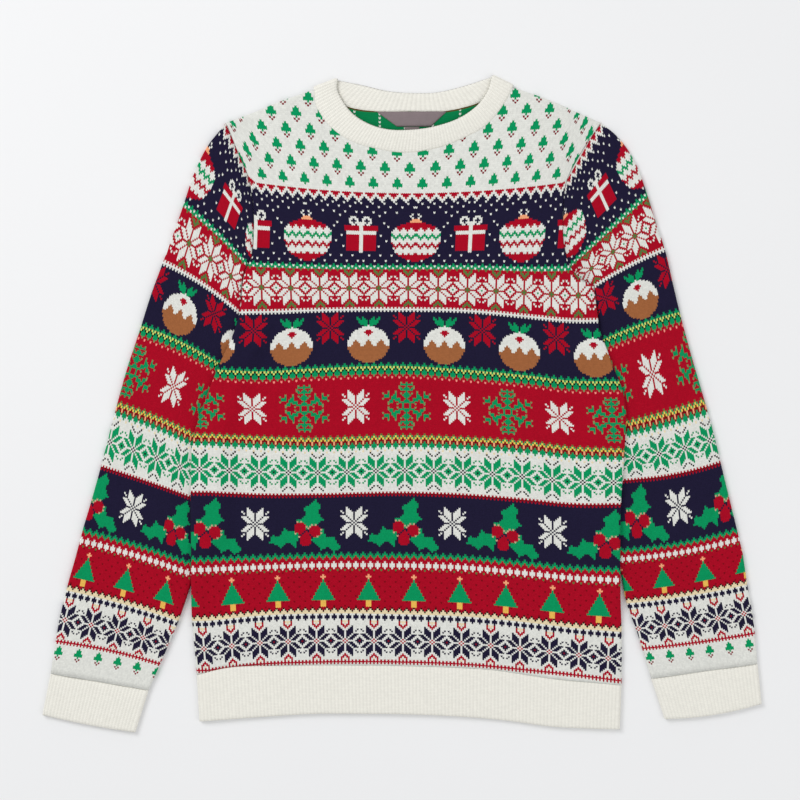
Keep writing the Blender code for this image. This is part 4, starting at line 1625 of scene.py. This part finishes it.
def tube_mesh(rings, inner_rings):
    """A tube's wall from outer and inner rings."""
    loops = rings + inner_rings[::-1]
    return np.concatenate(loops), ring_faces(loops)


def inside_height(height):
    """Height of a tube's inner face, from the profile's -1 to 1."""
    return FOLD_LEVEL + (FOLD_LEVEL - WALL * TUBE_WALL) * height


def sleeve_piece(name, side, armhole, hidden, shown, under, outward, creases, courses, material):
    sections, arm = sleeve_lines(side, armhole, hidden, shown, under, outward)
    shares = [k / RING_SHARES for k in range(2, RING_SHARES - 1)]
    rings, inner_rings, uv_rings = [], [], []
    for n, section in enumerate(sections):
        width = float(np.hypot(*(section[0] - section[1])))
        clear = outward * SEAM_GAP * 1.5 if n == 0 else 0.0
        profile, over = tube_profile(width, shares)
        plan = np.array([sleeve_point(section, arm, s, clear) for s, _ in profile])
        height = np.array([h for _, h in profile])
        shared = np.array([s for s, _ in profile])
        seam_dip = CAP_DIPS[n] if n < len(CAP_DIPS) else 0.0
        edge = ramp(np.minimum(shared, 1 - shared) * width, *TUBE_RELIEF)
        shape = (creased(plan[:, 0], plan[:, 1], creases) + waves(plan[:, 0], plan[:, 1])) * edge
        shape = shape * ramp(n, 0, CAP_SECTIONS)
        on_top = height >= 1.0
        top = FOLD_LEVEL * (1 + height) + np.where(on_top, shape - seam_dip, 0.0)
        rings.append(np.column_stack([plan, top]))
        inset = WALL / width
        in_share = inset + shared * (1 - 2 * inset)
        in_plan = np.array([sleeve_point(section, arm, s, clear) for s in in_share])
        in_height = inside_height(height) + np.where(on_top, shape * RELIEF_BELOW, 0.0)
        inner_rings.append(np.column_stack([in_plan, in_height]))
        wale, course = sleeve_stitches(plan[:, 0], plan[:, 1], courses, outward)
        below = np.arange(len(profile)) >= over
        low_wale, high_wale = wale[:over].min(), wale[:over].max()
        middle = (low_wale + high_wale) / 2
        around = np.where(wale > middle, 2 * high_wale - wale, 2 * low_wale - wale)
        wale = np.where(below, around, wale)
        uv_rings.append(np.column_stack([wale, course]))
    points, faces = tube_mesh(rings, inner_rings)
    uvs = np.concatenate(uv_rings + uv_rings[::-1])
    return add_mesh(name, points, faces, uvs, (material,)), sections[-1]


right_sleeve, right_end = sleeve_piece(
    "right_sleeve", SIDE_RIGHT, ARMHOLE_RIGHT, HIDDEN_RIGHT, SHOWN_RIGHT, UNDER_RIGHT, -1.0,
    CREASES_SLEEVE_RIGHT, SLEEVE_COURSES_RIGHT, jacquard_right,
)
left_sleeve, left_end = sleeve_piece(
    "left_sleeve", SIDE_LEFT, ARMHOLE_LEFT, HIDDEN_LEFT, SHOWN_LEFT, UNDER_LEFT, 1.0,
    CREASES_SLEEVE_LEFT, SLEEVE_COURSES_LEFT, jacquard_left,
)
finish_piece(right_sleeve, "jacquard_knit", "sleeve_right")
finish_piece(left_sleeve, "jacquard_knit", "sleeve_left")


# --- Ribs ---
RIB_COLUMNS = 5
RIB_COURSE = 1.7
RIB_WIDTH = 0.7
RIB_RISE = 1.6
# Share of the seam's gap that shows between a panel and its rib
WELT_GAP_SHARE = 0.3
# Share of a rib's height that is lost at the welt's and the cuff's edge
RIB_EDGE_LOSS = 0.6
# Rows of a welt and of a cuff, as shares of their lengths, closer where they round off
HEM_LENGTH = 55.0
HEM_ROWS = (0.0, 0.02, 0.06, 0.14, 0.26, 0.38, 0.5, 0.62, 0.74, 0.86, 0.94, 0.98, 1.0)
CUFF_LENGTH = 44.0
CUFF_ROWS = (0.0, 0.03, 0.08, 0.2, 0.35, 0.5, 0.65, 0.8, 0.92, 0.97, 1.0)
# How far the rounding at the seam and at the edge reaches
SEAM_ROUND = 3.0
HEM_ROUND = 2.6
CUFF_ROUND = 2.4
# How much lower the upper layer is at the seam and the edge, and how much higher the lower one at the edge
HEM_DROPS = (0.8, 1.6, 1.2)
CUFF_DROPS = (1.2, 1.3, 1.0)
# Slow and quick waves of the front welt: height, length in X for one radian, start
HEM_SWAY = ((0.5, 37.0, 2.0), (0.35, 19.0, 0.0))
HEM_SWAY_SHARE = 0.5
HEM_SWAY_REACH = 20.0
HEM_RIB_REACH = 5.0


def rib_relief(phase):
    """Height of a rib: a broad ridge and a narrow groove."""
    return RIB_HEIGHT * (np.abs(np.cos(math.pi * np.asarray(phase))) ** RIB_WIDTH * RIB_RISE - 1.0)


def hem_piece(name, seam_row, is_front):
    """A welt from the panel's seam to its own edge."""
    count = HEM_RIBS * RIB_COLUMNS
    shares = np.linspace(0.0, 1.0, count + 1)
    seam = along(seam_row, shares) - (0.0, SEAM_GAP * WELT_GAP_SHARE)
    edge = along(smooth(HEM_EDGE), shares)
    width = float(seam_row[-1][0] - seam_row[0][0])
    from_side = np.minimum(shares, 1 - shares) * width
    ribs = shares * HEM_RIBS
    seam_drop, edge_drop, under_rise = HEM_DROPS
    upper, lower = [], []
    for r in HEM_ROWS:
        plan = seam + r * (edge - seam)
        at_seam = 1 - fold_round(r * HEM_LENGTH, SEAM_ROUND)
        at_edge = 1 - fold_round((1 - r) * HEM_LENGTH, HEM_ROUND)
        if is_front:
            top, base = front_levels(from_side)
            sway = sum(height * np.sin(plan[:, 0] / long + start) for height, long, start in HEM_SWAY)
            sway = sway * r * ramp(from_side, 0.0, HEM_SWAY_REACH)
            relief = rib_relief(ribs) * (1 - RIB_EDGE_LOSS * at_edge) * ramp(from_side, 0.0, HEM_RIB_REACH)
            top = top + relief + HEM_SWAY_SHARE * (sway + HEM_SWAY_SHARE)
            top = top - seam_drop * at_seam - edge_drop * at_edge
            base = np.minimum(base, top - LEAST_WALL)
        else:
            top, base = back_levels(from_side)
            base = base + under_rise * at_edge
        upper.append(np.column_stack([plan, top]))
        lower.append(np.column_stack([plan, base]))
    upper, lower = np.array(upper)[::-1], np.array(lower)[::-1]
    points, faces, _ = shell(upper, lower)
    courses = np.array(HEM_ROWS[::-1]) * HEM_LENGTH / RIB_COURSE
    uv = np.array([[(rib, c) for rib in ribs] for c in courses]).reshape(-1, 2)
    return add_mesh(name, points, faces, np.concatenate([uv, uv]), (cream_rib,))


hem_front = hem_piece("hem_front_rib", front_grid[0], True)
hem_back = hem_piece("hem_back_rib", back_grid[0], False)
finish_piece(hem_front, "cream_rib", "hem_front")
finish_piece(hem_back, "cream_rib", "hem_back")


def cuff_piece(name, seam_end, cuff_end):
    """A ribbed tube from the sleeve's last section to its own edge."""
    outer, inner = np.array(seam_end[0]), np.array(seam_end[1])
    edge_outer, edge_inner, sag = np.array(cuff_end[:2]), np.array(cuff_end[2:4]), cuff_end[4]
    seam_drop, edge_drop, under_rise = CUFF_DROPS
    count = CUFF_RIBS * RIB_COLUMNS
    shares = [k / count for k in range(3, count - 2)]
    rings, inner_rings, uv_rings = [], [], []
    for r in CUFF_ROWS:
        start = outer + r * (edge_outer - outer)
        end = inner + r * (edge_inner - inner)
        width = float(np.hypot(*(start - end)))
        profile, over = tube_profile(width, shares)
        shared = np.array([s for s, _ in profile])
        height = np.array([h for _, h in profile])
        drop = r * sag * 4 * shared * (1 - shared) + SEAM_GAP * WELT_GAP_SHARE
        drop = np.column_stack([np.zeros(len(shared)), drop])
        plan = start + shared[:, None] * (end - start) - drop
        at_seam = 1 - float(fold_round(r * CUFF_LENGTH, SEAM_ROUND))
        at_edge = 1 - float(fold_round((1 - r) * CUFF_LENGTH, CUFF_ROUND))
        relief = rib_relief(shared * CUFF_RIBS) * (1 - RIB_EDGE_LOSS * at_edge)
        top = FOLD_LEVEL * (1 + height)
        top = top + np.where(height >= 1.0, relief - seam_drop * at_seam - edge_drop * at_edge, 0.0)
        top = top + np.where(height <= -1.0, under_rise * at_edge, 0.0)
        rings.append(np.column_stack([plan, top]))
        inset = WALL / width
        in_share = inset + shared * (1 - 2 * inset)
        in_plan = start + in_share[:, None] * (end - start) - drop
        inner_rings.append(np.column_stack([in_plan, inside_height(height)]))
        ribs = np.where(np.arange(len(profile)) >= over, -shared, shared) * CUFF_RIBS
        uv_rings.append(np.column_stack([ribs, np.full(len(ribs), r * CUFF_LENGTH / RIB_COURSE)]))
    points, faces = tube_mesh(rings, inner_rings)
    return add_mesh(name, points, faces, np.concatenate(uv_rings + uv_rings[::-1]), (cream_rib,))


right_cuff = cuff_piece("right_cuff", right_end, CUFF_END_RIGHT)
left_cuff = cuff_piece("left_cuff", left_end, CUFF_END_LEFT)
finish_piece(right_cuff, "cream_rib", "cuff_right")
finish_piece(left_cuff, "cream_rib", "cuff_left")


COLLAR_WIDTH = 24.0
COLLAR_STEPS = (0.0, 0.06, 0.18, 0.34, 0.5, 0.66, 0.82, 0.93, 1.0)
COLLAR_CLEAR = 0.3
COLLAR_CROWN = 0.7
# How far the rounding of the free edge and of the seam reaches, and the share of the wall left at the seam
COLLAR_ROUND = (2.2, 2.4)
COLLAR_SEAM_SHARE = 0.55
# Sections round each neck point, where the band folds over, and how many of them pass to a rib
TIP_SECTIONS = 8
TIP_PER_RIB = 4.0


def collar_piece(front_seam, back_seam):
    """The rib collar, one band round the neck that folds over at both neck points."""
    up = np.array((0.0, 0.0, 1.0))
    front_height = FRONT_BASE + WALL / 2 + COLLAR_CLEAR
    back_height = WALL / 2
    edge_front, edge_back = smooth(COLLAR_EDGE_FRONT), smooth(COLLAR_EDGE_BACK)

    def section(seam, edge, normal, height_seam, height_edge, relief, crown):
        """Points round the wall: out along the showing face, round the free edge, and back."""
        face, rear = [], []
        for s in COLLAR_STEPS:
            middle = seam + s * (edge - seam)
            rise = height_seam + (height_edge - height_seam) * s + crown * math.sin(math.pi * s)
            at_seam = fold_round(s * COLLAR_WIDTH, COLLAR_ROUND[1])
            rounding = float(COLLAR_SEAM_SHARE + (1 - COLLAR_SEAM_SHARE) * at_seam)
            rounding *= float(fold_round((1 - s) * COLLAR_WIDTH, COLLAR_ROUND[0]))
            centre = np.array((*middle, rise))
            face.append(centre + normal * (WALL / 2 + relief) * rounding)
            rear.append(centre - normal * (WALL / 2 * rounding))
        return face + rear[::-1]

    def band(seam_row, edge_line, ribs, height, rise, outward, crown):
        """Sections of the band along the front or the back, and the rib that each is on."""
        shares = np.linspace(0.0, 1.0, RIB_COLUMNS * ribs + 1)
        seam, edge = along(seam_row, shares), along(edge_line, shares)
        relief = rib_relief(shares * ribs)
        sections = []
        for j, share in enumerate(shares):
            free = height + rise * math.sin(math.pi * share)
            sections.append(section(seam[j], edge[j], up * outward, height, free, relief[j], crown))
        return sections, shares * ribs

    def turn(seam_point, edge_point):
        """Sections that carry the band over a neck point, from the front to the back."""
        step = edge_point - seam_point
        across = np.array((-step[1], step[0], 0.0)) / np.hypot(*step)
        across = across if across[1] > 0 else -across
        middle = (front_height + back_height) / 2
        radius = (front_height - back_height) / 2
        sections = []
        for k in range(1, TIP_SECTIONS):
            angle = math.pi * k / TIP_SECTIONS
            normal = math.cos(angle) * up + math.sin(angle) * across
            shift = radius * normal
            relief = float(rib_relief(k / TIP_PER_RIB))
            ring = section(seam_point, edge_point, normal, middle, middle, relief, 0.0)
            sections.append([point + shift for point in ring])
        return sections

    front_band = (COLLAR_FRONT_RIBS, front_height, COLLAR_RISE, 1.0, COLLAR_CROWN)
    front_sections, front_ribs = band(front_seam, edge_front, *front_band)
    back_band = (COLLAR_BACK_RIBS, back_height, 0.0, -1.0, 0.0)
    back_sections, back_ribs = band(back_seam, edge_back, *back_band)
    back_sections = [[(p * (1, 1, -1)) + (0, 0, 2 * back_height) for p in ring] for ring in back_sections]
    left_tip = turn(front_seam[-1], edge_front[-1])
    right_tip = turn(front_seam[0], edge_front[0])
    # The back band's face looks up, so its ring is turned to keep the wall's outer face outside
    back_sections = [ring[::-1] for ring in back_sections]
    sections = front_sections + left_tip + back_sections[::-1] + right_tip[::-1]
    tip = np.arange(1, TIP_SECTIONS) / TIP_PER_RIB
    back_from = COLLAR_FRONT_RIBS + TIP_SECTIONS / TIP_PER_RIB
    ribs = np.concatenate([front_ribs, COLLAR_FRONT_RIBS + tip, back_from + back_ribs, -tip[::-1]])
    points = np.concatenate([np.array(ring) for ring in sections])
    faces = [face[::-1] for face in ring_faces(sections)]
    down = np.array(COLLAR_STEPS + COLLAR_STEPS[::-1]) * COLLAR_WIDTH / RIB_COURSE
    uvs = np.array([[(rib, d) for d in down] for rib in ribs]).reshape(-1, 2)
    return add_mesh("collar_rib", points, faces, uvs, (cream_rib,))


neck_start = len(EDGE_OFFSETS) + SHOULDER_COLUMNS
neck_end = neck_start + NECK_COLUMNS + 1
front_neck = front_grid[-1][neck_start:neck_end]
back_neck = back_grid[-1][neck_start:neck_end]
collar = collar_piece(front_neck, back_neck)
finish_piece(collar, "cream_rib", "collar")


# --- Labels ---
RIBBON_COLUMNS = 25
RIBBON_ROWS = 9
RIBBON_WALL = 0.45
RIBBON_CLEAR = 0.5
# A ribbon's thickness at its edge, as a share, and how fast it grows inwards
RIBBON_EDGE = (0.25, 6)


def ribbon(name, outline, thickness, material, crown):
    """A flat ribbon over four corners, slightly crowned."""
    a, b, c, d = (np.array(p) for p in outline)
    upper = np.zeros((RIBBON_ROWS, RIBBON_COLUMNS, 3))
    for i in range(RIBBON_ROWS):
        for j in range(RIBBON_COLUMNS):
            s, t = j / (RIBBON_COLUMNS - 1), i / (RIBBON_ROWS - 1)
            point = (1 - t) * ((1 - s) * b + s * c) + t * ((1 - s) * a + s * d)
            soft = min(1.0, RIBBON_EDGE[1] * min(s, 1 - s, t, 1 - t) + RIBBON_EDGE[0])
            height = WALL + RIBBON_CLEAR + thickness * soft + crown * math.sin(math.pi * s)
            upper[i, j] = (*point, height)
    lower = upper.copy()
    lower[:, :, 2] -= RIBBON_WALL
    points, faces, _ = shell(upper, lower)
    uv = upper[:, :, :2].reshape(-1, 2)
    return add_mesh(name, points, faces, np.concatenate([uv, uv]), (material,))


label = ribbon("neck_label_ribbon", LABEL_OUTLINE, 0.5, label_satin, 0.5)
tab = ribbon("size_tab_ribbon", TAB_OUTLINE, 0.3, tab_satin, 0.0)
finish_piece(label, "label_satin", "neck_label")
finish_piece(tab, "label_satin", "size_tab")

# --- Setting ---
FLOOR_HALF = 3.0
FLOOR_BELOW = 0.0003
FLOOR_COLOUR = (0.87, 0.875, 0.885, 1.0)
# Softboxes, all aimed at the origin: name, place, side, watts
SOFTBOXES = (
    ("key", (-2.0, 1.8, 2.4), 1.6, 54.0),
    ("fill", (1.9, -0.9, 2.3), 2.6, 18.0),
)
WORLD_STRENGTH = 0.62

floor_mesh = bpy.data.meshes.new("floor")
corners = [(x * FLOOR_HALF, y * FLOOR_HALF, 0) for x, y in ((-1, -1), (1, -1), (1, 1), (-1, 1))]
floor_mesh.from_pydata(corners, [], [(0, 1, 2, 3)])
floor = bpy.data.objects.new("floor", floor_mesh)
floor.location = (0.0, 0.0, -FLOOR_BELOW)
bpy.context.scene.collection.objects.link(floor)
floor_material = bpy.data.materials.new("floor_paper")
floor_material.use_nodes = True
paper = floor_material.node_tree
paper_shader = paper.nodes["Principled BSDF"]
paper_shader.inputs["Roughness"].default_value = 0.9
paper_shader.inputs["Specular IOR Level"].default_value = 0.1
paper_place = paper.nodes.new("ShaderNodeTexCoord").outputs["Object"]
paper_light = lightness(paper, (noise(paper, paper_place, 3.0), 0.02, 0.99))
paper_colour = scaled(paper, plain(paper, FLOOR_COLOUR), paper_light)
paper.links.new(paper_colour, paper_shader.inputs["Base Color"])
floor.data.materials.append(floor_material)


for name, place, width, watts in SOFTBOXES:
    light = bpy.data.lights.new(name, "AREA")
    light.shape = "SQUARE"
    light.size = width
    light.energy = watts
    lamp = bpy.data.objects.new(name, light)
    lamp.location = place
    bpy.context.scene.collection.objects.link(lamp)
    lamp.rotation_mode = "QUATERNION"
    lamp.rotation_quaternion = (-Vector(place)).to_track_quat("-Z", "Y")

world = bpy.data.worlds.new("studio")
bpy.context.scene.world = world
world.use_nodes = True
background = world.node_tree.nodes["Background"]
background.inputs["Color"].default_value = (1.0, 1.0, 1.0, 1.0)
background.inputs["Strength"].default_value = WORLD_STRENGTH
bpy.context.scene.view_settings.view_transform = "Standard"
bpy.context.scene.view_settings.look = "None"
